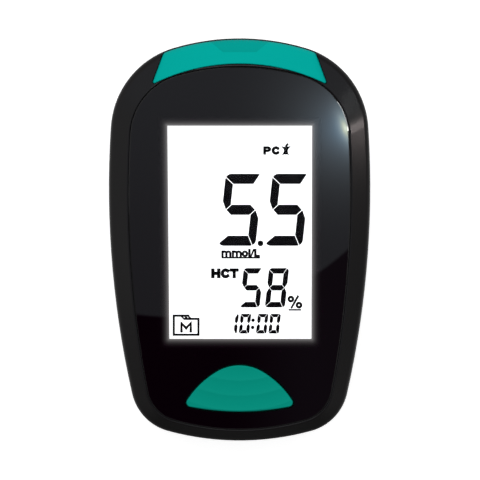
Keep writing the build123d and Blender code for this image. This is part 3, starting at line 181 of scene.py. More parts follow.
def arc(centre_x, centre_y, radius_x, radius_y, start, turn, steps=14):
    """Points along part of an ellipse, its angles in degrees."""
    angles = [math.radians(start + turn * step / steps) for step in range(steps + 1)]
    return [
        (centre_x + radius_x * math.cos(angle), centre_y + radius_y * math.sin(angle))
        for angle in angles
    ]


# Strokes of the plain letters, in a box one wide and one high
LETTERS = {
    "H": [[(0, 0), (0, 1)], [(1, 0), (1, 1)], [(0, 0.5), (1, 0.5)]],
    "C": [arc(0.54, 0.5, 0.54, 0.5, 48, 264)],
    "T": [[(0, 1), (1, 1)], [(0.5, 0), (0.5, 1)]],
    "P": [[(0, 0), (0, 1), (0.5, 1), *arc(0.6, 0.73, 0.4, 0.27, 90, -180), (0, 0.46)]],
    "L": [[(0, 1), (0, 0), (1, 0)]],
    "M": [[(0, 0), (0, 1), (0.5, 0.36), (1, 1), (1, 0)]],
    "m": [
        [(0, 0), (0, 1)],
        [(0, 0.5), *arc(0.25, 0.6, 0.25, 0.4, 180, -180), (0.5, 0)],
        [(0.5, 0.5), *arc(0.75, 0.6, 0.25, 0.4, 180, -180), (1, 0)],
    ],
    "o": [arc(0.5, 0.5, 0.5, 0.5, 0, 360)],
    "l": [[(0.5, 0), (0.5, 1)]],
    "/": [[(0, 0), (1, 1)]],
}


# ---------------------------------------------------------------- node helpers


def feed(tree, sockets, values):
    """Gives sockets plain values, or the output sockets that feed them."""
    for name, value in values.items():
        if isinstance(value, bpy.types.NodeSocket):
            tree.links.new(value, sockets[name])
        else:
            sockets[name].default_value = value


def node(tree, kind, inputs=None, **settings):
    """Adds a node. Each input is a plain value, or an output socket that feeds it."""
    made = tree.nodes.new(kind)
    for name, value in settings.items():
        setattr(made, name, value)
    feed(tree, made.inputs, inputs or {})
    return made


def calc(tree, operation, *values, clamp=False):
    """A Math node's output."""
    inputs = dict(enumerate(values))
    return node(tree, "ShaderNodeMath", inputs, operation=operation, use_clamp=clamp).outputs[0]


def smooth_step(tree, value, low, high):
    """0 below low, 1 above high, with a soft turn between them."""
    ramp = node(
        tree, "ShaderNodeMapRange",
        {"Value": value, "From Min": low, "From Max": high, "To Min": 0.0, "To Max": 1.0},
        interpolation_type="SMOOTHSTEP",
    )
    return ramp.outputs[0]


def between(tree, share, low, high):
    """low where the share is 0, high where it is 1."""
    return calc(tree, "MULTIPLY_ADD", share, high - low, low)


def fade(tree, value, rate):
    """1 where the value is 0, and less the larger it is."""
    return calc(tree, "EXPONENT", calc(tree, "MULTIPLY", value, -rate))


def distance(tree, across, along):
    """How far off a point is, from its two parts."""
    squares = calc(tree, "MULTIPLY_ADD", along, along, calc(tree, "MULTIPLY", across, across))
    return calc(tree, "SQRT", squares)


def swing(tree, value, size, middle):
    """Takes a noise, which lies round a half, to a number that lies round the middle given."""
    return calc(tree, "MULTIPLY_ADD", calc(tree, "SUBTRACT", value, 0.5), size, middle)


def noise(tree, vector, scale, detail=2.0, roughness=0.5):
    """A Noise node's factor."""
    inputs = {"Vector": vector, "Scale": scale, "Detail": detail, "Roughness": roughness}
    return node(tree, "ShaderNodeTexNoise", inputs).outputs["Fac"]


def mix_colours(tree, factor, first, second):
    """first where the factor is 0, second where it is 1."""
    made = node(tree, "ShaderNodeMix", {0: factor, 6: first, 7: second}, data_type="RGBA")
    return made.outputs[2]


def grey(tree, level):
    """A grey of that level."""
    return node(tree, "ShaderNodeCombineColor", {0: level, 1: level, 2: level}).outputs[0]


def scale_colour(tree, colour, factor):
    """A colour times a number."""
    inputs = {"Vector": colour, "Scale": factor}
    return node(tree, "ShaderNodeVectorMath", inputs, operation="SCALE").outputs[0]


def object_place(tree):
    """The Object coordinates."""
    return node(tree, "ShaderNodeTexCoord").outputs["Object"]


def split(tree, vector):
    """The three parts of a vector."""
    return node(tree, "ShaderNodeSeparateXYZ", {"Vector": vector}).outputs


def mix_shaders(tree, factor, first, second):
    """The first shader where the factor is 0, the second where it is 1."""
    inputs = {0: factor, 1: first.outputs[0], 2: second.outputs[0]}
    return node(tree, "ShaderNodeMixShader", inputs)


def window_edges(tree, window):
    """How far a point lies beside and beyond a leaning and tapering window."""
    parts = split(tree, object_place(tree))
    along = calc(tree, "SUBTRACT", parts["Y"], window["Centre Y"])
    middle = calc(tree, "MULTIPLY_ADD", along, window["Lean"], window["Centre X"])
    half = calc(tree, "MULTIPLY_ADD", along, window["Taper"], window["Half Width"])
    across = calc(tree, "ABSOLUTE", calc(tree, "SUBTRACT", parts["X"], middle))
    beside = calc(tree, "SUBTRACT", across, half)
    beyond = calc(tree, "SUBTRACT", calc(tree, "ABSOLUTE", along), window["Half Height"])
    return beside, beyond


def shader_group(name, inputs, outputs):
    """A shader node group: its tree, the sockets that it is given and those that it makes."""
    tree = bpy.data.node_groups.new(name, "ShaderNodeTree")
    for label, default in inputs.items():
        kind = "NodeSocketFloat" if isinstance(default, float) else "NodeSocketColor"
        socket = tree.interface.new_socket(name=label, in_out="INPUT", socket_type=kind)
        socket.default_value = default
    for label in outputs:
        kind = "NodeSocketColor" if label in ("Colour", "Glow") else "NodeSocketFloat"
        tree.interface.new_socket(name=label, in_out="OUTPUT", socket_type=kind)
    start = tree.nodes.new("NodeGroupInput")
    end = tree.nodes.new("NodeGroupOutput")
    return tree, start.outputs, end.inputs


def place_group(tree, name, inputs):
    """Places a shader node group with its values, and returns its outputs."""
    group = bpy.data.node_groups[name]
    return node(tree, "ShaderNodeGroup", inputs, node_tree=group).outputs


# ---------------------------------------------------------------- shared effects


def build_moulded_surface():
    """Spark-eroded grain, with slow changes of tone and gloss across a moulding."""
    tree, given, made = shader_group(
        "Moulded Surface",
        {
            "Colour": MID_GREY, "Tone Change": 0.1, "Patch Size": 0.02, "Grain Size": 0.0003,
            "Roughness": 0.4, "Gloss Change": 0.05,
        },
        ("Colour", "Roughness", "Height"),
    )
    place = object_place(tree)
    patch = noise(tree, place, calc(tree, "DIVIDE", 1.0, given["Patch Size"]), 3.0)
    grain = noise(tree, place, calc(tree, "DIVIDE", 1.0, given["Grain Size"]), 1.0)
    change = swing(tree, patch, 2.0, calc(tree, "SUBTRACT", grain, 0.5))
    tone = calc(tree, "MULTIPLY_ADD", change, given["Tone Change"], 1.0)
    colour = scale_colour(tree, given["Colour"], tone)
    rough = calc(
        tree, "MULTIPLY_ADD", change, given["Gloss Change"], given["Roughness"], clamp=True
    )
    feed(tree, made, {"Colour": colour, "Roughness": rough, "Height": grain})


def build_settled_dust():
    """Fine pale specks on whatever faces up."""
    inputs = {"Colour": MID_GREY, "Roughness": 0.4, "Dust": 0.02}
    tree, given, made = shader_group("Settled Dust", inputs, ("Colour", "Roughness"))
    place = object_place(tree)
    normal = node(tree, "ShaderNodeNewGeometry").outputs["Normal"]
    facing = smooth_step(tree, split(tree, normal)["Z"], 0.2, 0.9)
    speck = smooth_step(tree, noise(tree, place, 2600.0), 0.68, 0.74)
    cover = smooth_step(tree, noise(tree, place, 90.0, 3.0), 0.45, 0.7)
    mask = calc(tree, "MULTIPLY", calc(tree, "MULTIPLY", speck, cover), facing)
    mask = calc(tree, "MULTIPLY", mask, given["Dust"], clamp=True)
    colour = mix_colours(tree, mask, given["Colour"], (0.42, 0.41, 0.39, 1))
    rough = calc(tree, "MULTIPLY_ADD", mask, 0.4, given["Roughness"], clamp=True)
    feed(tree, made, {"Colour": colour, "Roughness": rough})


def build_handling_smears():
    """Soft smears that fingers leave on a smooth surface."""
    inputs = {"Roughness": 0.3, "Smears": 0.1, "Smear Size": 0.01}
    tree, given, made = shader_group("Handling Smears", inputs, ("Roughness",))
    turned = node(
        tree, "ShaderNodeMapping",
        {"Vector": object_place(tree), "Rotation": (0, 0, 0.7), "Scale": (1.0, 0.35, 1.0)},
    ).outputs[0]
    smear = noise(tree, turned, calc(tree, "DIVIDE", 1.0, given["Smear Size"]), 4.0, 0.6)
    mask = smooth_step(tree, smear, 0.5, 0.72)
    rough = calc(tree, "MULTIPLY_ADD", mask, given["Smears"], given["Roughness"], clamp=True)
    feed(tree, made, {"Roughness": rough})


def build_rubbed_edges_and_sheen():
    """A slight polish where a corner gets rubbed, and a paler colour there, partly wear and partly
    a painted highlight.
    """
    inputs = {"Colour": MID_GREY, "Roughness": 0.4, "Edge Width": 0.0003, "Rub And Sheen": 0.3}
    tree, given, made = shader_group("Rubbed Edges And Sheen", inputs, ("Colour", "Roughness"))
    turned = node(tree, "ShaderNodeBevel", {"Radius": given["Edge Width"]}, samples=4)
    normal = node(tree, "ShaderNodeNewGeometry").outputs["Normal"]
    both = {0: turned.outputs[0], 1: normal}
    match = node(tree, "ShaderNodeVectorMath", both, operation="DOT_PRODUCT").outputs["Value"]
    edge = smooth_step(tree, calc(tree, "SUBTRACT", 1.0, match), 0.01, 0.2)
    patchy = smooth_step(tree, noise(tree, object_place(tree), 400.0, 3.0), 0.3, 0.7)
    mask = calc(tree, "MULTIPLY", calc(tree, "MULTIPLY", edge, patchy), given["Rub And Sheen"], clamp=True)
    # paler at the edges: partly wear, partly a painted highlight
    colour = scale_colour(tree, given["Colour"], between(tree, mask, 1.0, 1.8))
    rough = calc(tree, "MULTIPLY_ADD", mask, -0.15, given["Roughness"], clamp=True)
    feed(tree, made, {"Colour": colour, "Roughness": rough})


def build_light_bleed():
    """Light that leaks round a lit window into the black print beside it."""
    inputs = {**WINDOW, "Reach": 0.0005, "Level": 0.3}
    tree, given, made = shader_group("Light Bleed", inputs, ("Glow",))
    beside, beyond = window_edges(tree, given)
    out_x = calc(tree, "MAXIMUM", beside, 0.0)
    out_y = calc(tree, "MAXIMUM", beyond, 0.0)
    away = calc(tree, "DIVIDE", distance(tree, out_x, out_y), given["Reach"])
    level = calc(tree, "MULTIPLY", fade(tree, away, 1.0), given["Level"])
    feed(tree, made, {"Glow": scale_colour(tree, (1.0, 0.97, 0.96), level)})


# ---------------------------------------------------------------- materials


def cleared_tree(owner, end_kind):
    """The emptied tree of a material or a world, and the socket where its surface ends."""
    owner.use_nodes = True
    tree = owner.node_tree
    tree.nodes.clear()
    return tree, tree.nodes.new(end_kind).inputs["Surface"]


def blank_material(name):
    """A new material with a Principled BSDF: the material, its tree and the shader's sockets."""
    material = bpy.data.materials.new(name)
    tree, end = cleared_tree(material, "ShaderNodeOutputMaterial")
    shader = tree.nodes.new("ShaderNodeBsdfPrincipled")
    tree.links.new(shader.outputs[0], end)
    return material, tree, shader.inputs


def bump(tree, height, depth, strength=0.5):
    """The normal that a height gives."""
    inputs = {"Height": height, "Distance": depth, "Strength": strength}
    return node(tree, "ShaderNodeBump", inputs).outputs[0]


def moulded_plastic(
    name, colour, roughness, tone=0.06, grain=0.0003, depth=0.00001, specular=0.5, dust=0.3,
    smears=0.0, rub_and_sheen=0.0,
):
    """A moulded plastic or rubber finish."""
    material, tree, sockets = blank_material(name)
    surface = place_group(
        tree, "Moulded Surface",
        {
            "Colour": (*colour, 1), "Tone Change": tone, "Patch Size": 0.03, "Grain Size": grain,
            "Roughness": roughness, "Gloss Change": 0.03,
        },
    )
    tint, rough = surface["Colour"], surface["Roughness"]
    # rubbed edges, their paler colour partly a painted highlight
    if rub_and_sheen:
        rubbed_and_sheen = place_group(
            tree, "Rubbed Edges And Sheen",
            {"Colour": tint, "Roughness": rough, "Edge Width": 0.00025, "Rub And Sheen": rub_and_sheen},
        )
        tint, rough = rubbed_and_sheen["Colour"], rubbed_and_sheen["Roughness"]
    if smears:
        smeared = place_group(
            tree, "Handling Smears", {"Roughness": rough, "Smears": smears, "Smear Size": 0.012}
        )
        rough = smeared["Roughness"]
    dusty = place_group(tree, "Settled Dust", {"Colour": tint, "Roughness": rough, "Dust": dust})
    feed(
        tree, sockets,
        {
            "Base Color": dusty["Colour"], "Roughness": dusty["Roughness"],
            "Specular IOR Level": specular, "Normal": bump(tree, surface["Height"], depth),
        },
    )
    return material


def brushed_metal(name, colour, roughness, lines=(4000.0, 300.0, 4000.0)):
    """A drawn or stamped metal, with fine lines along its working direction."""
    material, tree, sockets = blank_material(name)
    place = object_place(tree)
    lined = node(tree, "ShaderNodeMapping", {"Vector": place, "Scale": lines}).outputs[0]
    streak = noise(tree, lined, 1.0)
    patch = noise(tree, place, 220.0, 3.0)
    tone = swing(tree, patch, 0.3, swing(tree, streak, 0.25, 1.0))
    feed(
        tree, sockets,
        {
            "Base Color": scale_colour(tree, colour, tone), "Metallic": 1.0,
            "Roughness": swing(tree, patch, 0.3, roughness),
            "Normal": bump(tree, streak, 0.000003, 0.4),
        },
    )
    return material


def dress(names, material):
    """Puts a finish on carried-over nodes or new pieces."""
    for name in names:
        piece = NODES.get(name) or bpy.data.objects[name]
        if not piece.material_slots:
            piece.data.materials.append(material)
        for held in piece.material_slots:
            held.material = material


# ---------------------------------------------------------------- shape helpers


def new_object(name, data):
    """An object at the origin, in the scene."""
    made = bpy.data.objects.new(name, data)
    bpy.context.scene.collection.objects.link(made)
    return made


def new_piece(name, mesh, material, body="housing"):
    """A finished piece at the origin, with its finish, that rides on a body."""
    mesh.name = name
    piece = new_object(name, mesh)
    mesh.materials.clear()
    mesh.materials.append(material)
    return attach(piece, body)


def mesh_from(build):
    """A mesh that build fills in, with doubles merged and normals outwards."""
    form = bmesh.new()
    build(form)
    bmesh.ops.remove_doubles(form, verts=form.verts, dist=1e-7)
    bmesh.ops.recalc_face_normals(form, faces=form.faces)
    mesh = bpy.data.meshes.new("mesh")
    form.to_mesh(mesh)
    form.free()
    return mesh


def add_prism(form, outline, low, high):
    """A flat outline, given counter-clockwise, drawn out between two heights."""
    below = [form.verts.new((x, y, low)) for x, y in outline]
    above = [form.verts.new((x, y, high)) for x, y in outline]
    form.faces.new(reversed(below))
    form.faces.new(above)
    for i in range(len(outline)):
        j = (i + 1) % len(outline)
        form.faces.new((below[i], below[j], above[j], above[i]))


def rounded_rectangle(width, height, radius, centre=(0.0, 0.0), steps=6):
    """Counter-clockwise points of a rectangle with round corners."""
    points = []
    for quarter in range(4):
        turn = quarter * math.pi / 2
        side_x = (1, -1, -1, 1)[quarter] * (width / 2 - radius)
        side_y = (1, 1, -1, -1)[quarter] * (height / 2 - radius)
        for step in range(steps + 1):
            angle = turn + step / steps * math.pi / 2
            across, along = radius * math.cos(angle), radius * math.sin(angle)
            points.append((centre[0] + side_x + across, centre[1] + side_y + along))
    return points


def clip(outline, point, towards, gap=0.0):
    """The part of a convex outline that lies beyond a line through point, on the side towards."""
    direction = Vector(towards).normalized()
    kept = []
    for i, here in enumerate(outline):
        there = outline[(i + 1) % len(outline)]
        from_line = (Vector(here) - Vector(point)).dot(direction) - gap
        to_line = (Vector(there) - Vector(point)).dot(direction) - gap
        if from_line >= 0:
            kept.append(tuple(here))
        if from_line * to_line < 0:
            share = from_line / (from_line - to_line)
            kept.append(tuple(Vector(here).lerp(Vector(there), share)))
    return kept


# ---------------------------------------------------------------- display drawing


def drawing(x, y):
    """A place on the display drawing, in metres."""
    return (x - DRAWING_X) * DOT, (DRAWING_Y - y) * DOT


def seven_bars(width, height, across, up, gap, corner, shoulder):
    """A flat figure eight of seven bars, each face numbered in the attribute bar."""
    whole = rounded_rectangle(width, height, corner, (width / 2, height / 2), 4)
    middle = height / 2
    joint = 0.47 * across
    mitres = {
        (-1, 1): (-1.0, 0.84),
        (1, 1): (0.56, 1.0),
        (-1, -1): (-1.0, -0.92),
        (1, -1): (0.52, -1.0),
    }

    def cut_corner(outline, side, rise, keep_upright):
        """Cuts a bar's end along the mitre of that corner."""
        x = width - across if side > 0 else across
        y = height - up if rise > 0 else up
        along = Vector(mitres[(side, rise)])
        beside = Vector((along.y, -along.x)) * side * rise
        return clip(outline, (x, y), beside if keep_upright else -beside, gap / 2)

    def level_bar(rise):
        outline = clip(whole, (0, height - up if rise > 0 else up), (0, rise))
        outline = cut_corner(outline, -1, rise, False)
        return cut_corner(outline, 1, rise, False)

    def upright_bar(side, rise):
        tip = (width - joint if side > 0 else joint, middle)
        outline = clip(whole, (width - across if side > 0 else across, 0), (side, 0))
        outline = cut_corner(outline, side, rise, True)
        outline = clip(outline, tip, (side, rise), gap / 2)
        return clip(outline, tip, (-side * shoulder, rise * joint))

    def middle_bar():
        outline = clip(whole, (0, middle - up / 2), (0, 1))
        outline = clip(outline, (0, middle + up / 2), (0, -1))
        for side, x in ((-1, joint), (1, width - joint)):
            for rise in (-1, 1):
                outline = clip(outline, (x, middle), (-side, rise), gap / 2)
        return outline

    bars = (
        level_bar(1), upright_bar(1, 1), upright_bar(1, -1), level_bar(-1),
        upright_bar(-1, -1), upright_bar(-1, 1), middle_bar(),
    )
    mesh = bpy.data.meshes.new("seven_bars")
    points, faces = [], []
    for outline in bars:
        faces.append(tuple(range(len(points), len(points) + len(outline))))
        points.extend((x, y, 0.0) for x, y in outline)
    mesh.from_pydata(points, [], faces)
    numbers = mesh.attributes.new("bar", "INT", "FACE")
    numbers.data.foreach_set("value", list(range(len(bars))))
    return mesh


def build_number_tree():
    """A row of seven-bar figures that shows any whole number."""
    tree = bpy.data.node_groups.new("Seven Bar Number", "GeometryNodeTree")
    sockets = {}
    for label, kind, default in (
        ("Figure", "NodeSocketGeometry", None),
        ("Number", "NodeSocketInt", 0),
        ("Places", "NodeSocketInt", 2),
        ("Pitch", "NodeSocketFloat", 0.01),
        ("Break After", "NodeSocketInt", 9),
        ("Break Width", "NodeSocketFloat", 0.0),
        ("Slant", "NodeSocketFloat", 0.1),
        ("Ink Thickness", "NodeSocketFloat", 0.0001),
        ("Ink", "NodeSocketMaterial", None),
    ):
        socket = tree.interface.new_socket(name=label, in_out="INPUT", socket_type=kind)
        if default is not None:
            socket.default_value = default
        sockets[label] = socket.identifier
    tree.interface.new_socket(name="Row", in_out="OUTPUT", socket_type="NodeSocketGeometry")
    given = tree.nodes.new("NodeGroupInput").outputs
    end = tree.nodes.new("NodeGroupOutput")

    index = node(tree, "GeometryNodeInputIndex").outputs[0]
    line = node(
        tree, "GeometryNodeMeshLine", {"Count": given["Places"], "Offset": (0.0, 0.0, 0.0)}
    )
    after = calc(tree, "GREATER_THAN", index, calc(tree, "SUBTRACT", given["Break After"], 0.5))
    step = calc(tree, "MULTIPLY", index, given["Pitch"])
    place = calc(tree, "MULTIPLY_ADD", after, given["Break Width"], step)
    offset = node(tree, "ShaderNodeCombineXYZ", {"X": place}).outputs[0]
    spread = node(tree, "GeometryNodeSetPosition", {"Geometry": line.outputs[0], "Offset": offset})
    numbered = node(
        tree, "GeometryNodeStoreNamedAttribute",
        {"Geometry": spread.outputs[0], "Name": "place"},
        data_type="INT", domain="POINT",
    )
    tree.links.new(index, numbered.inputs["Value"])
    copies = node(
        tree, "GeometryNodeInstanceOnPoints",
        {"Points": numbered.outputs[0], "Instance": given["Figure"]},
    )
    real = node(tree, "GeometryNodeRealizeInstances", {"Geometry": copies.outputs[0]})

    bar = node(tree, "GeometryNodeInputNamedAttribute", {"Name": "bar"}, data_type="INT").outputs[0]
    spot = node(
        tree, "GeometryNodeInputNamedAttribute", {"Name": "place"}, data_type="INT"
    ).outputs[0]
    last = calc(tree, "SUBTRACT", given["Places"], 1.0)
    power = calc(tree, "POWER", 10.0, calc(tree, "SUBTRACT", last, spot))
    whole = calc(tree, "FLOOR", calc(tree, "DIVIDE", given["Number"], power))
    digit = calc(tree, "MODULO", whole, 10.0)
    codes = node(tree, "GeometryNodeIndexSwitch", data_type="INT")
    while len(codes.index_switch_items) < len(SEVEN_BAR_CODES):
        codes.index_switch_items.new()
    tree.links.new(digit, codes.inputs["Index"])
    for i, code in enumerate(SEVEN_BAR_CODES):
        codes.inputs[i + 1].default_value = code
    shifted = calc(tree, "DIVIDE", codes.outputs[0], calc(tree, "POWER", 2.0, bar))
    lit = calc(tree, "MODULO", calc(tree, "FLOOR", shifted), 2.0)
    dark = calc(tree, "LESS_THAN", lit, 0.5)
    shown = node(
        tree, "GeometryNodeDeleteGeometry", {"Geometry": real.outputs[0], "Selection": dark},
        domain="FACE",
    )

    position = node(tree, "GeometryNodeInputPosition").outputs[0]
    height = node(tree, "ShaderNodeSeparateXYZ", {"Vector": position}).outputs["Y"]
    lean = calc(tree, "MULTIPLY", height, given["Slant"])
    shear = node(tree, "ShaderNodeCombineXYZ", {"X": lean}).outputs[0]
    leaning = node(tree, "GeometryNodeSetPosition", {"Geometry": shown.outputs[0], "Offset": shear})
    raised = node(
        tree, "GeometryNodeExtrudeMesh",
        {"Mesh": leaning.outputs[0], "Offset Scale": given["Ink Thickness"], "Individual": False},
    )
    under = node(tree, "GeometryNodeFlipFaces", {"Mesh": leaning.outputs[0]})
    both = tree.nodes.new("GeometryNodeJoinGeometry")
    tree.links.new(raised.outputs[0], both.inputs[0])
    tree.links.new(under.outputs[0], both.inputs[0])
    closed = node(
        tree, "GeometryNodeMergeByDistance", {"Geometry": both.outputs[0], "Distance": 1e-7}
    )
    final = node(tree, "GeometryNodeRealizeInstances", {"Geometry": closed.outputs[0]})
    inked = node(
        tree, "GeometryNodeSetMaterial",
        {"Geometry": final.outputs[0], "Material": given["Ink"]},
    )
    tree.links.new(inked.outputs[0], end.inputs[0])
    return tree, sockets


def grown_mesh(source, tree, values):
    """The plain mesh that a Geometry Nodes tree makes from a source mesh."""
    carrier = new_object("carrier", source)
    grower = carrier.modifiers.new("grow", "NODES")
    grower.node_group = tree
    for identifier, value in values.items():
        grower[identifier] = value
    depsgraph = bpy.context.evaluated_depsgraph_get()
    mesh = bpy.data.meshes.new_from_object(carrier.evaluated_get(depsgraph), depsgraph=depsgraph)
    carrier.modifiers.clear()
    bpy.data.objects.remove(carrier)
    return mesh


def ribbon(form, points, width, low, high):
    """A drawn line of that width with mitred turns, closed where its ends meet."""
    path = [Vector(point) for point in points]
    ring = (path[0] - path[-1]).length < 1e-9
    if ring:
        path.pop()
    else:
        path[0] += (path[0] - path[1]).normalized() * width / 2
        path[-1] += (path[-1] - path[-2]).normalized() * width / 2
    count = len(path)
    corners = ((1, low), (-1, low), (-1, high), (1, high))
    rows = []
    for i, here in enumerate(path):
        after = path[(i + 1) % count] if ring or i + 1 < count else 2 * here - path[i - 1]
        before = path[i - 1] if ring or i else 2 * here - after
        leave = (after - here).normalized()
        along = (leave + (here - before).normalized()).normalized()
        side = Vector((-along.y, along.x)) * width / 2 / max(along.dot(leave), 0.5)
        rows.append([form.verts.new((*(here + side * way), z)) for way, z in corners])
    for i in range(count if ring else count - 1):
        first, second = rows[i], rows[(i + 1) % count]
        for k in range(4):
            form.faces.new((first[k], first[(k + 1) % 4], second[(k + 1) % 4], second[k]))
    if not ring:
        form.faces.new(rows[0])
        form.faces.new(rows[-1])


def write_letter(form, letter, box, width):
    """One letter of plain strokes that fills a box of the drawing: left, top, right, bottom."""
    left, top, right, bottom = box
    for line in LETTERS[letter]:
        points = [
            drawing(
                left + width / 2 + x * (right - left - width),
                bottom - width / 2 - y * (bottom - top - width),
            )
            for x, y in line
        ]
        ribbon(form, points, width * DOT, 0.0, INK_THICKNESS)


def join_meshes(meshes):
    """Several meshes as one."""
    form = bmesh.new()
    for mesh in meshes:
        form.from_mesh(mesh)
    joined = bpy.data.meshes.new("joined")
    form.to_mesh(joined)
    form.free()
    return joined


# ---------------------------------------------------------------- settings


def colour_setting(name, description, default):
    """A colour that a user may change."""
    return bpy.props.FloatVectorProperty(
        name=name, description=description, default=default, size=3, min=0.0, max=1.0,
        subtype="COLOR",
    )


class MeterHousingSettings(bpy.types.PropertyGroup):
    """Looks of the dark housings"""

    shell_colour: colour_setting(
        "Housing", "Colour of the two housings", (0.0062, 0.0056, 0.0059)
    )
    shell_roughness: bpy.props.FloatProperty(
        name="Housing roughness", description="How matt the housings are", default=0.2,
        min=0.0, max=1.0, subtype="FACTOR",
    )
    grain_size: bpy.props.FloatProperty(
        name="Grain", description="Size of the moulded grain", default=0.00028,
        unit="LENGTH", precision=5,
    )


class MeterTrimSettings(bpy.types.PropertyGroup):
    """Looks of the coloured port cover and button"""

    cover_colour: colour_setting(
        "Port cover", "Colour of the strip port cover", (0.0006, 0.415, 0.362)
    )
    button_colour: colour_setting(
        "Button", "Colour of the main button", (0.0010, 0.315, 0.237)
    )
    trim_roughness: bpy.props.FloatProperty(
        name="Trim roughness", description="How matt the coloured pieces are", default=0.36,
        min=0.0, max=1.0, subtype="FACTOR",
    )


class MeterDisplaySettings(bpy.types.PropertyGroup):
    """What the display shows, and how"""

    reading: bpy.props.IntProperty(
        name="Reading", description="Glucose reading in tenths", default=55, min=0, max=99
    )
    percentage: bpy.props.IntProperty(
        name="Percentage", description="The second value shown", default=58, min=0, max=99
    )
    clock: bpy.props.IntProperty(
        name="Clock", description="Time as four figures", default=1000, min=0, max=9999
    )
    brightness: bpy.props.FloatProperty(
        name="Brightness", description="Light that the lit display gives", default=1.12, min=0.0
    )
    ink_colour: colour_setting("Segments", "Colour of the dark segments", (0.0100, 0.0092, 0.0105))


class MeterStudioSettings(bpy.types.PropertyGroup):
    """Camera, lamps and floor"""

    camera_height: bpy.props.FloatProperty(
        name="Camera height", description="Height of the camera above the floor", default=2.5,
        unit="LENGTH",
    )
    view_width: bpy.props.FloatProperty(
        name="View width", description="Width that the camera sees at the meter",
        default=0.11433, unit="LENGTH", precision=5,
    )
    fill_level: bpy.props.FloatProperty(
        name="Fill", description="Level of the soft light from all round", default=0.55, min=0.0
    )
    key_power: bpy.props.FloatProperty(
        name="Key", description="Power of the large soft lamp", default=5.0, unit="POWER"
    )
    floor_level: bpy.props.FloatProperty(
        name="Floor", description="How bright the floor shows by itself", default=0.7, min=0.0
    )
    floor_gloss: bpy.props.FloatProperty(
        name="Floor in gloss", description="How bright the floor looks in glossy surfaces",
        default=0.19, min=0.0,
    )


SETTINGS = {
    "meter_housing": MeterHousingSettings,
    "meter_trim": MeterTrimSettings,
    "meter_display": MeterDisplaySettings,
    "meter_studio": MeterStudioSettings,
}


# ---------------------------------------------------------------- operators


def satin_plastic(name, wanted, rub_and_sheen=0.0):
    """The housings' dark satin finish."""
    return moulded_plastic(
        name, wanted.shell_colour, wanted.shell_roughness, tone=0.08, grain=wanted.grain_size,
        specular=0.2, dust=0.05, smears=0.05, rub_and_sheen=rub_and_sheen,
    )


class METER_OT_housing(bpy.types.Operator):
    """Finish the two housings and their screws"""

    bl_idname = "meter.housing"
    bl_label = "Housing"

    def execute(self, context):
        shell = satin_plastic("Satin Housing", context.scene.meter_housing)
        dress(("front_housing", "rear_housing"), shell)
        screw = brushed_metal("Blackened Screw", (0.12, 0.12, 0.125), 0.42)
        dress(("housing_screws",), screw)
        return {"FINISHED"}


class METER_OT_window(bpy.types.Operator):
    """Finish the clear window, and lay its black print inside it"""

    bl_idname = "meter.window"
    bl_label = "Window"

    def execute(self, context):
        dress(("display_lens",), self.clear_plastic())
        piece = new_piece("window_print", mesh_from(self.fit_print), self.print_ink())
        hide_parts("lens_mask")
        tape = moulded_plastic("Black Tape", (0.008, 0.008, 0.008), 0.7, specular=0.3, dust=0.0)
        dress(("lens_tape",), tape)
        return {"FINISHED"}

    def clear_plastic(self):
        """Clear plastic, dark where the print backs it and with less gloss over the display."""
        clear, tree, sockets = blank_material("Clear Window")
        away = calc(tree, "MAXIMUM", *window_edges(tree, WINDOW))
        backed = smooth_step(tree, away, *BACKING_EDGE)
        body = mix_colours(tree, backed, (0.98, 0.99, 0.99, 1), (0.03, 0.03, 0.03, 1))
        outside = smooth_step(tree, away, *GLOSS_EDGE)
        gloss = grey(tree, between(tree, outside, 0.1, 1.0))
        feed(
            tree, sockets,
            {
                "Base Color": body, "Specular Tint": gloss, "Roughness": 0.0,
                "Transmission Weight": 1.0, "IOR": 1.49,
            },
        )
        return clear

    def print_ink(self):
        """Black ink, with light that leaks into it round the window."""
        ink, tree, sockets = blank_material("Window Print")
        leak = {**WINDOW, "Reach": 0.45 * MM, "Level": 0.26}
        surface = place_group(
            tree, "Moulded Surface",
            {
                "Colour": (0.0044, 0.0004, 0.0032, 1), "Tone Change": 0.2, "Patch Size": 0.01,
                "Grain Size": 0.0001, "Roughness": 0.5, "Gloss Change": 0.05,
            },
        )
        feed(
            tree, sockets,
            {
                "Base Color": surface["Colour"], "Roughness": surface["Roughness"],
                "Emission Color": place_group(tree, "Light Bleed", leak)["Glow"],
                "Emission Strength": 1.0, "Specular IOR Level": 0.0,
            },
        )
        return ink

    def fit_print(self, form):
        """The print, a little inside the clear window's edges, with its two holes fitted."""
        form.from_mesh(NODES["lens_mask"].data)
        bmesh.ops.remove_doubles(form, verts=form.verts, dist=1e-6)
        button_low, button_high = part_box("main_button")
        button_y = (button_low.y + button_high.y) / 2
        middle_z = (MASK_LOW.z + MASK_HIGH.z) / 2
        slack = 0.1 * MM
        for vertex in form.verts:
            x, y, z = vertex.co
            by_window_x = abs(x) < HOLE_WIDTH / 2 + slack
            by_window_y = abs(y - HOLE_Y) < HOLE_HEIGHT / 2 + slack
            by_button_y = BUTTON_HOLE_ENDS[0] < y < BUTTON_HOLE_ENDS[1]
            if by_window_x and by_window_y:
                along = (y - HOLE_Y) * WINDOW_HEIGHT / HOLE_HEIGHT
                widened = (WINDOW_WIDTH / 2 + along * WINDOW_TAPER) / (HOLE_WIDTH / 2)
                vertex.co.x = WINDOW_X + along * WINDOW_LEAN + x * widened
                vertex.co.y = WINDOW_Y + along
            elif abs(x) < BUTTON_HOLE_HALF_WIDTH and by_button_y:
                vertex.co.x = x * BUTTON_HOLE_FIT[0]
                vertex.co.y = button_y + (y - button_y) * BUTTON_HOLE_FIT[1]
            else:
                vertex.co.x = x * PRINT_FIT[0]
                vertex.co.y = y * PRINT_FIT[1]
            vertex.co.z = LENS_LOW.z + (PRINT_LOW if z < middle_z else PRINT_HIGH)


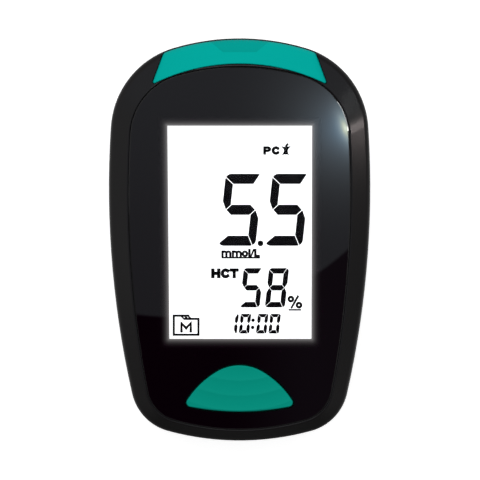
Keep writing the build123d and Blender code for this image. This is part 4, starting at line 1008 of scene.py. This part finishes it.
class METER_OT_display(bpy.types.Operator):
    """Light the display and draw its figures, legends and signs"""

    bl_idname = "meter.display"
    bl_label = "Display"

    def execute(self, context):
        wanted = context.scene.meter_display
        film, tree, sockets = blank_material("Lit Display")
        level = swing(tree, noise(tree, object_place(tree), 60.0), 0.02, 1.0)
        feed(
            tree, sockets,
            {
                "Emission Color": scale_colour(tree, (1.0, 1.0, 1.0), level),
                "Base Color": scale_colour(tree, (0.6, 0.6, 0.6), level),
                "Emission Strength": wanted.brightness, "Roughness": 0.5,
                "Specular IOR Level": 0.1,
            },
        )
        film_low = GLASS_TOP + FILM_GAP
        film_high = film_low + FILM_THICKNESS
        width, height = HOLE_WIDTH + 2 * FILM_MARGIN, HOLE_HEIGHT + 2 * FILM_MARGIN
        outline = rounded_rectangle(width, height, FILM_CORNER, (0.0, HOLE_Y))
        plate = mesh_from(lambda form: add_prism(form, outline, film_low, film_high))
        new_piece("display_film", plate, film)

        ink = moulded_plastic(
            "Display Segments", wanted.ink_colour, 0.6, tone=0.1, specular=0.0, dust=0.0
        )
        drawn = join_meshes([*self.figures(wanted, ink), mesh_from(self.write_signs)])
        drawn.transform(Matrix.Translation((0.0, 0.0, film_high)))
        new_piece("display_segments", drawn, ink)
        return {"FINISHED"}

    def figures(self, wanted, ink):
        """The three rows of seven-bar figures, and the round points between them."""
        tree, sockets = build_number_tree()
        # width, height, upright, level, gap, corner and shoulder of the bars
        large = (37.3, 71.8, 8.3, 10.1, 0.7, 5.6, 8.6)
        middling = (20.0, 39.2, 5.0, 5.5, 0.4, 3.2, 4.6)
        small = (10.5, 19.6, 3.3, 3.5, 0.3, 1.6, 2.6)
        rows = (
            # number, places, left, base line, pitch, break after, break width and bars
            (wanted.reading, 2, 218.1, 245.8, 46.7, 9, 0.0, large),
            (wanted.percentage, 2, 239.5, 307.2, 25.2, 9, 0.0, middling),
            (wanted.clock, 4, 226.3, 333.2, 12.35, 2, 4.8, small),
        )
        meshes = []
        for number, places, left, base, pitch, after, width, sizes in rows:
            bars = seven_bars(*[size * DOT for size in sizes])
            values = {
                "Number": number, "Places": places, "Pitch": pitch * DOT, "Break After": after,
                "Break Width": width * DOT, "Slant": FIGURE_SLANT, "Ink Thickness": INK_THICKNESS,
                "Ink": ink,
            }
            row = grown_mesh(bars, tree, {sockets[key]: value for key, value in values.items()})
            row.transform(Matrix.Translation((*drawing(left, base), 0.0)))
            meshes.append(row)
        # the decimal point and the clock's two points, each with its radius
        points = ((260.4, 243.3, 2.9), (253.0, 319.9, 1.75), (252.6, 327.1, 1.75))

        def build(form):
            for x, y, radius in points:
                place = Matrix.Translation((*drawing(x, y), INK_THICKNESS / 2))
                bmesh.ops.create_cone(
                    form, cap_ends=True, segments=24, radius1=radius * DOT, radius2=radius * DOT,
                    depth=INK_THICKNESS, matrix=place,
                )

        meshes.append(mesh_from(build))
        return meshes

    def write_signs(self, form):
        """The legends beside the figures, the memory folder, the apple core and the underlines."""

        def pen(points, width):
            ribbon(form, [drawing(*p) for p in points], width * DOT, 0.0, INK_THICKNESS)

        legends = (
            # letters with the left and right of each, then top, bottom and stroke
            ("m", 221.4, 231.5, 250.4, 257.0, 2.3), ("m", 231.8, 241.9, 250.4, 257.0, 2.3),
            ("o", 241.6, 248.2, 250.4, 257.0, 2.3), ("l", 248.2, 250.6, 248.8, 257.0, 2.4),
            ("/", 250.1, 254.6, 248.8, 257.0, 1.8), ("L", 254.1, 259.9, 248.8, 257.0, 2.4),
            ("H", 211.2, 220.6, 268.3, 278.2, 3.5), ("C", 220.7, 230.0, 268.2, 278.3, 3.4),
            ("T", 229.6, 238.8, 268.3, 278.2, 3.3), ("P", 263.2, 271.0, 146.6, 155.0, 2.7),
            ("C", 271.5, 279.7, 146.5, 155.1, 2.9), ("M", 180.4, 192.2, 321.7, 332.2, 2.6),
        )
        for letter, left, right, top, bottom, width in legends:
            write_letter(form, letter, (left, top, right, bottom), width)
        # the percent sign, with a line under it and one under the unit
        for x, y in ((290.7, 298.9), (298.8, 304.9)):
            pen(arc(x, y, 2.15, 2.15, 0, 360), 2.5)
        pen([(291.5, 307.2), (297.7, 296.3)], 2.1)
        pen([(222.4, 257.6), (259.2, 257.6)], 1.7)
        pen([(289.2, 309.6), (300.2, 309.6)], 1.6)
        # the folder, its lid and the hatching of its tab
        left, top, right, bottom, lid = 174.0, 315.4, 198.6, 334.4, 318.6
        pen([(188.4, top), (left, top), (left, bottom), (right, bottom), (right, lid)], 2.2)
        pen([(185.2, lid), (right, lid)], 2.2)
        for x in (181.3, 184.8, 188.2):
            pen([(x, 315.6), (x + 2.9, lid)], 1.8)
        core = (
            (280.7, 146.4), (283.5, 149.4), (283.8, 151.0), (283.4, 152.8), (281.5, 155.7),
            (284.2, 154.6), (285.6, 154.9), (287.1, 154.6), (289.0, 155.7), (287.8, 152.8),
            (287.6, 151.0), (288.0, 149.4), (291.0, 146.3), (288.0, 146.9), (286.0, 146.8),
            (283.7, 147.1),
        )
        add_prism(form, [drawing(*p) for p in core], 0.0, INK_THICKNESS)
        pen([(286.2, 146.2), (287.2, 144.7)], 2.1)


class METER_OT_trim(bpy.types.Operator):
    """Finish the port cover and the main button"""

    bl_idname = "meter.trim"
    bl_label = "Port cover and button"

    def execute(self, context):
        wanted = context.scene.meter_trim
        fine = {"tone": 0.04, "grain": 0.0002, "depth": 0.000006, "dust": 0.01}
        cover = moulded_plastic(
            "Teal Cover", wanted.cover_colour, wanted.trim_roughness, specular=0.01, smears=0.04,
            **fine,
        )
        # paints shade into the floor of the strip guide
        self.paint_guide_shade(cover)
        dress(("strip_port_cover",), cover)
        button = moulded_plastic(
            "Teal Button", wanted.button_colour, wanted.trim_roughness, specular=0.03, smears=0.06,
            **fine,
        )
        dress(("main_button",), button)
        silicone = moulded_plastic("Clear Silicone", (0.55, 0.56, 0.58), 0.5, dust=0.0)
        dress(("button_dome",), silicone)
        return {"FINISHED"}

    def paint_guide_shade(self, cover):
        """Painted shade: a darker colour on the floor of the strip guide, in the middle of the
        cover's brow.
        """
        tree = cover.node_tree
        sockets = tree.nodes["Principled BSDF"].inputs
        plain = sockets["Base Color"].links[0].from_socket
        parts = split(tree, object_place(tree))
        along = calc(tree, "SUBTRACT", parts["Y"], GUIDE_Y)
        flare = calc(tree, "MULTIPLY_ADD", along, GUIDE_FLARE, GUIDE_HALF_WIDTH)
        beside = calc(tree, "SUBTRACT", flare, calc(tree, "ABSOLUTE", parts["X"]))
        inside = calc(
            tree, "MULTIPLY", smooth_step(tree, along, *GUIDE_EDGE),
            smooth_step(tree, beside, *GUIDE_EDGE),
        )
        # painted shade: the cover's colour darkened over the guide's floor
        tone = between(tree, inside, 1.0, GUIDE_PAINTED_SHADE)
        feed(tree, sockets, {"Base Color": scale_colour(tree, plain, tone)})


class METER_OT_inside(bpy.types.Operator):
    """Finish the display stack, the board and what it carries"""

    bl_idname = "meter.inside"
    bl_label = "Inside"

    def execute(self, context):
        glass, tree, sockets = blank_material("Display Glass")
        patch = calc(tree, "ADD", noise(tree, object_place(tree), 80.0), 0.5)
        tint = scale_colour(tree, (0.30, 0.34, 0.30), patch)
        feed(tree, sockets, {"Base Color": tint, "Roughness": 0.08})
        dress(("lcd_front_glass", "lcd_rear_glass"), glass)
        plain = {
            "backlight_panel": ("Diffuser", (0.75, 0.76, 0.74), 0.5),
            "lcd_frame": ("White Frame", (0.72, 0.72, 0.70), 0.45),
            "lcd_gasket": ("Black Foam", (0.012, 0.012, 0.012), 0.9),
            "strip_connector": ("Connector Black", (0.012, 0.012, 0.013), 0.45),
            "set_plunger": ("Plunger Black", (0.012, 0.012, 0.013), 0.4),
            "buzzer": ("Buzzer Black", (0.014, 0.014, 0.014), 0.38),
            "controller_chips": ("Chip Black", (0.016, 0.016, 0.017), 0.5),
            "port_led": ("Lamp Resin", (0.75, 0.73, 0.6), 0.2),
            "ejector_carriage": ("Carriage Nylon", (0.45, 0.45, 0.43), 0.45),
        }
        for name, (label, colour, roughness) in plain.items():
            dress((name,), moulded_plastic(label, colour, roughness, dust=0.0))
        dress(("strip_contacts",), brushed_metal("Gold Plate", (0.83, 0.58, 0.22), 0.22))
        dress(("set_switch", "data_port"), brushed_metal("Bright Steel", (0.6, 0.6, 0.61), 0.28))
        self.striped_rubber()
        self.solder_mask()
        return {"FINISHED"}

    def striped_rubber(self):
        """Alternate black and pale layers along the display's elastic connector."""
        rubber, tree, sockets = blank_material("Striped Rubber")
        wave = node(
            tree, "ShaderNodeTexWave",
            {"Vector": object_place(tree), "Scale": 1600.0, "Distortion": 0.2},
            bands_direction="X",
        ).outputs["Fac"]
        stripe = smooth_step(tree, wave, 0.4, 0.6)
        colour = mix_colours(tree, stripe, (0.012, 0.012, 0.012, 1), (0.55, 0.5, 0.42, 1))
        feed(tree, sockets, {"Base Color": colour, "Roughness": 0.7})
        dress(("zebra_connector",), rubber)

    def solder_mask(self):
        """Green solder mask over copper tracks."""
        board, tree, sockets = blank_material("Solder Mask")
        place = object_place(tree)
        grid = node(
            tree, "ShaderNodeTexBrick",
            {
                "Vector": place, "Scale": 420.0, "Mortar Size": 0.035,
                "Color1": (1, 1, 1, 1), "Color2": (0.6, 0.6, 0.6, 1), "Mortar": (0, 0, 0, 1),
            },
        ).outputs["Fac"]
        islands = smooth_step(tree, noise(tree, place, 130.0), 0.42, 0.46)
        track = calc(tree, "MULTIPLY", grid, islands)
        green = mix_colours(tree, track, (0.006, 0.085, 0.030, 1), (0.016, 0.150, 0.055, 1))
        relief = bump(tree, track, 0.00003, 0.6)
        feed(tree, sockets, {"Base Color": green, "Roughness": 0.3, "Normal": relief})
        dress(("main_board",), board)


class METER_OT_power(bpy.types.Operator):
    """Finish the cells, their contacts and springs"""

    bl_idname = "meter.power"
    bl_label = "Cells and contacts"

    def execute(self, context):
        jacket = self.jacket()
        for name, direction in (("battery_left", 1), ("battery_right", -1)):
            low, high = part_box(name)
            mesh = self.cell_mesh(low, high, direction)
            piece = new_piece(f"cell_{name.split('_')[1]}", mesh, jacket)
            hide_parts(name)
        plates = ("contact_bridge", "contact_positive", "contact_negative")
        dress(plates, brushed_metal("Nickel Plate", (0.62, 0.60, 0.56), 0.25))
        springs = brushed_metal("Spring Wire", (0.58, 0.58, 0.57), 0.22, (900.0, 900.0, 900.0))
        dress(("battery_springs", "ejector_spring"), springs)
        return {"FINISHED"}

    def cell_mesh(self, low, high, direction):
        """A cell turned from one profile: crimped ends, jacket edges and the positive nub."""
        radius = (high.x - low.x) / 2
        tip = (high.y - low.y) / MM
        # share of the radius, and millimetres from the flat end
        profile = (
            (0.0, 0.0), (0.62, 0.0), (0.66, 0.35), (0.84, 0.35), (0.86, 0.0), (0.93, 0.0),
            (0.985, 0.18), (1.0, 0.55), (1.0, tip - 1.75), (0.985, tip - 1.3), (0.95, tip - 1.1),
            (0.80, tip - 1.1), (0.78, tip - 0.8), (0.38, tip - 0.8), (0.36, tip - 0.12),
            (0.33, tip), (0.0, tip),
        )
        centre_x, centre_z = (low.x + high.x) / 2, (low.z + high.z) / 2
        start = low.y if direction > 0 else high.y
        points = [
            (centre_x + share * radius, start + direction * along * MM, centre_z)
            for share, along in profile
        ]

        def build(form):
            corners = [form.verts.new(p) for p in points]
            edges = [form.edges.new(pair) for pair in zip(corners, corners[1:])]
            bmesh.ops.spin(
                form, geom=corners + edges, cent=(centre_x, 0.0, centre_z), axis=(0.0, 1.0, 0.0),
                angle=math.tau, steps=72, use_merge=True,
            )

        mesh = mesh_from(build)
        mesh.shade_smooth()
        mesh.set_sharp_from_angle(angle=math.radians(35))
        return mesh

    def jacket(self):
        """A plain printed jacket, with bare metal at both ends."""
        material, tree, sockets = blank_material("Cell Jacket")
        place = object_place(tree)
        parts = split(tree, place)
        off_axis = distance(
            tree, calc(tree, "SUBTRACT", calc(tree, "ABSOLUTE", parts["X"]), CELL_AXIS_X),
            calc(tree, "SUBTRACT", parts["Z"], CELL_AXIS_Z),
        )
        outside = smooth_step(
            tree, off_axis, JACKET_RADIUS - JACKET_EDGE, JACKET_RADIUS + JACKET_EDGE
        )
        side = calc(tree, "SIGN", parts["X"])
        middle = calc(tree, "MULTIPLY_ADD", side, JACKET_STAGGER, JACKET_MIDDLE_Y)
        along = calc(tree, "MULTIPLY", calc(tree, "SUBTRACT", parts["Y"], middle), side)
        collar = smooth_step(tree, along, *COLLAR_END)
        printed = mix_colours(tree, collar, (0.62, 0.36, 0.16, 1), (0.020, 0.022, 0.026, 1))
        scuff = noise(tree, place, 300.0, 4.0)
        feed(
            tree, sockets,
            {
                "Base Color": mix_colours(tree, outside, (0.60, 0.60, 0.60, 1), printed),
                "Metallic": calc(tree, "SUBTRACT", 1.0, outside),
                "Roughness": between(tree, scuff, 0.2, 0.4),
            },
        )
        return material


class METER_OT_back(bpy.types.Operator):
    """Finish the battery door, the set key and the strip ejector"""

    bl_idname = "meter.back"
    bl_label = "Back"

    def execute(self, context):
        dress(("battery_door",), satin_plastic("Satin Door", context.scene.meter_housing, rub_and_sheen=0.3))
        slider = moulded_plastic(
            "Satin Slider", context.scene.meter_trim.cover_colour, 0.4, specular=0.35, rub_and_sheen=0.2,
            dust=0.05,
        )
        dress(("ejector_slider",), slider)
        rubber = moulded_plastic("Set Rubber", (0.16, 0.16, 0.165), 0.7, dust=0.1)
        dress(("set_button",), rubber)
        return {"FINISHED"}


def bearing_glow(tree, parts):
    """1 towards a bearing to the right of the meter's top end, and less to both sides of it."""
    bearing = calc(tree, "ARCTAN2", parts["Y"], parts["X"])
    off = calc(tree, "ABSOLUTE", calc(tree, "SUBTRACT", bearing, GLOW_BEARING))
    return fade(tree, off, GLOW_RATE)


class METER_OT_studio(bpy.types.Operator):
    """Set up the floor, soft light and the camera straight above"""

    bl_idname = "meter.studio"
    bl_label = "Studio"

    def execute(self, context):
        wanted = context.scene.meter_studio
        self.floor(wanted)
        self.sky(wanted)
        # the large soft light from beyond the top end
        self.lamp("key_lamp", (-0.15, 0.75, 0.85), 0.7, wanted.key_power, (1.0, 1.0, 1.0))
        # a spark on the window's edge
        self.lamp("edge_lamp", (0.8855, 0.161, 0.024), 0.05, 0.2, (1.0, 1.0, 0.94))
        # from under the floor's level, a warm band on the dark ring alone
        self.lamp("ring_lamp", (0.879, 0.142, -0.120), 0.042, 0.55, (1.0, 0.87, 0.86))
        # a low strip that draws a thin line up the window's edge
        self.lamp("rim_lamp", (0.822, 0.366, 0.0085), 0.37, 0.11, (0.95, 1.0, 1.0), 0.013)
        height = wanted.camera_height
        data = bpy.data.cameras.new("camera")
        data.lens = data.sensor_width * (height - PLANE_Z) / wanted.view_width
        data.clip_end = 20.0
        camera = new_object("camera", data)
        camera.location = (CAMERA_X, CAMERA_Y, height)
        context.scene.camera = camera
        context.scene.view_settings.view_transform = "Standard"
        return {"FINISHED"}

    def floor(self, wanted):
        """A pale floor that shows white, keeps a soft shadow and can't be seen from below."""
        material = bpy.data.materials.new("Pale Floor")
        tree, end = cleared_tree(material, "ShaderNodeOutputMaterial")
        ray = node(tree, "ShaderNodeLightPath").outputs
        place = object_place(tree)
        tone = swing(tree, noise(tree, place, 6.0), 0.02, FLOOR_TONE)
        matt = node(tree, "ShaderNodeBsdfDiffuse", {"Color": grey(tree, tone)})
        glow = node(tree, "ShaderNodeEmission", {"Strength": wanted.floor_level})
        lit = node(tree, "ShaderNodeAddShader", {0: matt.outputs[0], 1: glow.outputs[0]})

        # in gloss it is painted: painted shade round one spot, painted light to the left, and a
        # painted glow far out
        spot = split(tree, place)
        away = distance(tree, spot["X"], calc(tree, "SUBTRACT", spot["Y"], DARK_SPOT_Y))
        near = between(tree, smooth_step(tree, away, *DARK_SPOT_EDGE), DARK_SPOT_LEVEL, 1.0)
        left = calc(
            tree, "MULTIPLY", smooth_step(tree, spot["X"], *LEFT_EDGE_X),
            smooth_step(tree, spot["Y"], *LEFT_EDGE_Y),
        )
        level = calc(tree, "MULTIPLY_ADD", left, LEFT_LEVEL, near)
        level = calc(tree, "MULTIPLY", level, wanted.floor_gloss)
        far_out = smooth_step(tree, distance(tree, spot["X"], spot["Y"]), *GLOW_EDGE)
        strip = calc(tree, "MULTIPLY", bearing_glow(tree, spot), far_out)
        level = calc(tree, "MULTIPLY_ADD", strip, FLOOR_GLOW_LEVEL, level)
        dim = node(tree, "ShaderNodeEmission", {"Strength": level})
        surface = mix_shaders(tree, ray["Is Glossy Ray"], lit, dim)

        # only the camera, gloss and clear pieces see it, and only from above
        seen = calc(tree, "ADD", ray["Is Camera Ray"], ray["Is Glossy Ray"])
        seen = calc(tree, "ADD", seen, ray["Is Transmission Ray"], clamp=True)
        back = node(tree, "ShaderNodeNewGeometry").outputs["Backfacing"]
        shown = calc(tree, "MULTIPLY", seen, calc(tree, "SUBTRACT", 1.0, back))
        clear = node(tree, "ShaderNodeBsdfTransparent")
        tree.links.new(mix_shaders(tree, shown, clear, surface).outputs[0], end)

        sides = ((-1, -1), (1, -1), (1, 1), (-1, 1))
        mesh = bpy.data.meshes.new("floor")
        corners = [(x * FLOOR_REACH, y * FLOOR_REACH, FLOOR_Z) for x, y in sides]
        mesh.from_pydata(corners, [], [(0, 1, 2, 3)])
        mesh.materials.append(material)
        floor = new_object("floor", mesh)

    def sky(self, wanted):
        """White all round. Gloss sees a softbox edge overhead and a dimmer room at the sides."""
        world = bpy.data.worlds.new("studio")
        bpy.context.scene.world = world
        tree, end = cleared_tree(world, "ShaderNodeOutputWorld")
        ray = node(tree, "ShaderNodeLightPath").outputs
        parts = split(tree, node(tree, "ShaderNodeTexCoord").outputs["Generated"])

        # where on the window the camera sees that way mirrored, in millimetres
        up = calc(tree, "MAXIMUM", parts["Z"], 0.001)
        reach = (wanted.camera_height - LENS_HIGH.z) / MM
        across = calc(tree, "MULTIPLY", calc(tree, "DIVIDE", parts["X"], up), reach)
        along = calc(tree, "MULTIPLY", calc(tree, "DIVIDE", parts["Y"], up), reach)

        def parts_from(point):
            """How far that lies beside and above a point of the window."""
            return calc(tree, "SUBTRACT", across, point[0]), calc(tree, "SUBTRACT", along, point[1])

        # the softbox, brighter towards the top, with its star and core, and a haze to the right
        from_middle = distance(tree, *parts_from(BOX_MIDDLE))
        inside = calc(tree, "SUBTRACT", 1.0, smooth_step(tree, from_middle, *BOX_EDGE))
        star = fade(tree, distance(tree, *parts_from(STAR)), 1 / STAR_SPREAD)
        beside, rise = parts_from(CORE)
        beside = calc(tree, "MULTIPLY_ADD", rise, CORE_SLANT, beside)
        rise = calc(tree, "MULTIPLY", rise, CORE_SQUASH)
        core = fade(tree, distance(tree, beside, rise), 1 / CORE_SPREAD)
        box = between(tree, smooth_step(tree, along, *BRIGHTER), *BOX_LEVELS)
        box = calc(tree, "MULTIPLY_ADD", star, STAR_LEVEL, box)
        box = calc(tree, "MULTIPLY_ADD", core, CORE_LEVEL, box)
        haze = calc(tree, "MULTIPLY", smooth_step(tree, across, *HAZE_EDGE), HAZE_LEVEL)
        box = calc(tree, "MULTIPLY_ADD", box, inside, haze)

        # the room at the sides, dimmer on the lower end's side, and a low glow beside the top end
        room = between(tree, smooth_step(tree, parts["Y"], -0.16, 0.0), *ROOM_LEVELS)
        aside = smooth_step(tree, distance(tree, across, along), *ROOM_EDGE)
        level = calc(tree, "MULTIPLY_ADD", aside, calc(tree, "SUBTRACT", room, box), box)
        low = fade(tree, calc(tree, "ABSOLUTE", parts["Z"]), 18.0)
        strip = calc(tree, "MULTIPLY", bearing_glow(tree, parts), low)
        level = calc(tree, "MULTIPLY_ADD", strip, GLOW_LEVEL, level)

        # bluer round the star, and yellower in its core
        by_star = calc(tree, "MULTIPLY", star, 1.6, clamp=True)
        tint = mix_colours(tree, by_star, (0.88, 1.0, 1.06, 1), (0.68, 1.0, 1.3, 1))
        by_core = calc(tree, "MULTIPLY", core, 2.0, clamp=True)
        tint = mix_colours(tree, by_core, tint, (0.93, 1.05, 0.88, 1))
        both = {0: scale_colour(tree, tint, level), 1: DIM_ROOM}
        glossed = node(tree, "ShaderNodeVectorMath", both, operation="ADD").outputs[0]

        def background(colour, strength):
            return node(tree, "ShaderNodeBackground", {"Color": colour, "Strength": strength})

        white = (1.0, 1.0, 1.0, 1.0)
        mirrored = calc(tree, "ADD", ray["Is Glossy Ray"], ray["Is Transmission Ray"], clamp=True)
        lit = mix_shaders(
            tree, mirrored, background(white, wanted.fill_level), background(glossed, 1.0)
        )
        shown = mix_shaders(tree, ray["Is Camera Ray"], lit, background(white, 1.0))
        tree.links.new(shown.outputs[0], end)

    def lamp(self, name, place, size, power, colour, height=None):
        """A soft lamp that points at the meter, square unless it has a height of its own."""
        data = bpy.data.lights.new(name, "AREA")
        data.shape = "RECTANGLE"
        data.size = size
        data.size_y = height or size
        data.energy = power
        data.color = colour
        lamp = new_object(name, data)
        lamp.location = place
        lamp.rotation_euler = (-Vector(place)).to_track_quat("-Z", "Y").to_euler()


class METER_PT_panel(bpy.types.Panel):
    """Settings and steps of the meter's finishes"""

    bl_idname = "METER_PT_panel"
    bl_label = "Glucose meter"
    bl_space_type = "VIEW_3D"
    bl_region_type = "UI"
    bl_category = "Meter"

    def draw(self, context):
        for name, settings in SETTINGS.items():
            box = self.layout.box()
            group = getattr(context.scene, name)
            for label in settings.__annotations__:
                box.prop(group, label)
        for step in STEPS:
            self.layout.operator(step.bl_idname)


STEPS = (
    METER_OT_housing,
    METER_OT_window,
    METER_OT_display,
    METER_OT_trim,
    METER_OT_inside,
    METER_OT_power,
    METER_OT_back,
    METER_OT_studio,
)
EFFECTS = (
    build_moulded_surface,
    build_settled_dust,
    build_handling_smears,
    build_rubbed_edges_and_sheen,
    build_light_bleed,
)


def register():
    """Registers the settings, the steps and the panel."""
    for name, settings in SETTINGS.items():
        bpy.utils.register_class(settings)
        setattr(bpy.types.Scene, name, bpy.props.PointerProperty(type=settings))
    for step in STEPS:
        bpy.utils.register_class(step)
    bpy.utils.register_class(METER_PT_panel)


def unregister():
    """Takes them out again."""
    bpy.utils.unregister_class(METER_PT_panel)
    for step in reversed(STEPS):
        bpy.utils.unregister_class(step)
    for name, settings in SETTINGS.items():
        delattr(bpy.types.Scene, name)
        bpy.utils.unregister_class(settings)


def main():
    """Dresses the meter step by step."""
    register()
    for build in EFFECTS:
        build()
    for step in STEPS:
        group, name = step.bl_idname.split(".")
        getattr(getattr(bpy.ops, group), name)()


if __name__ == "__main__":
    main()
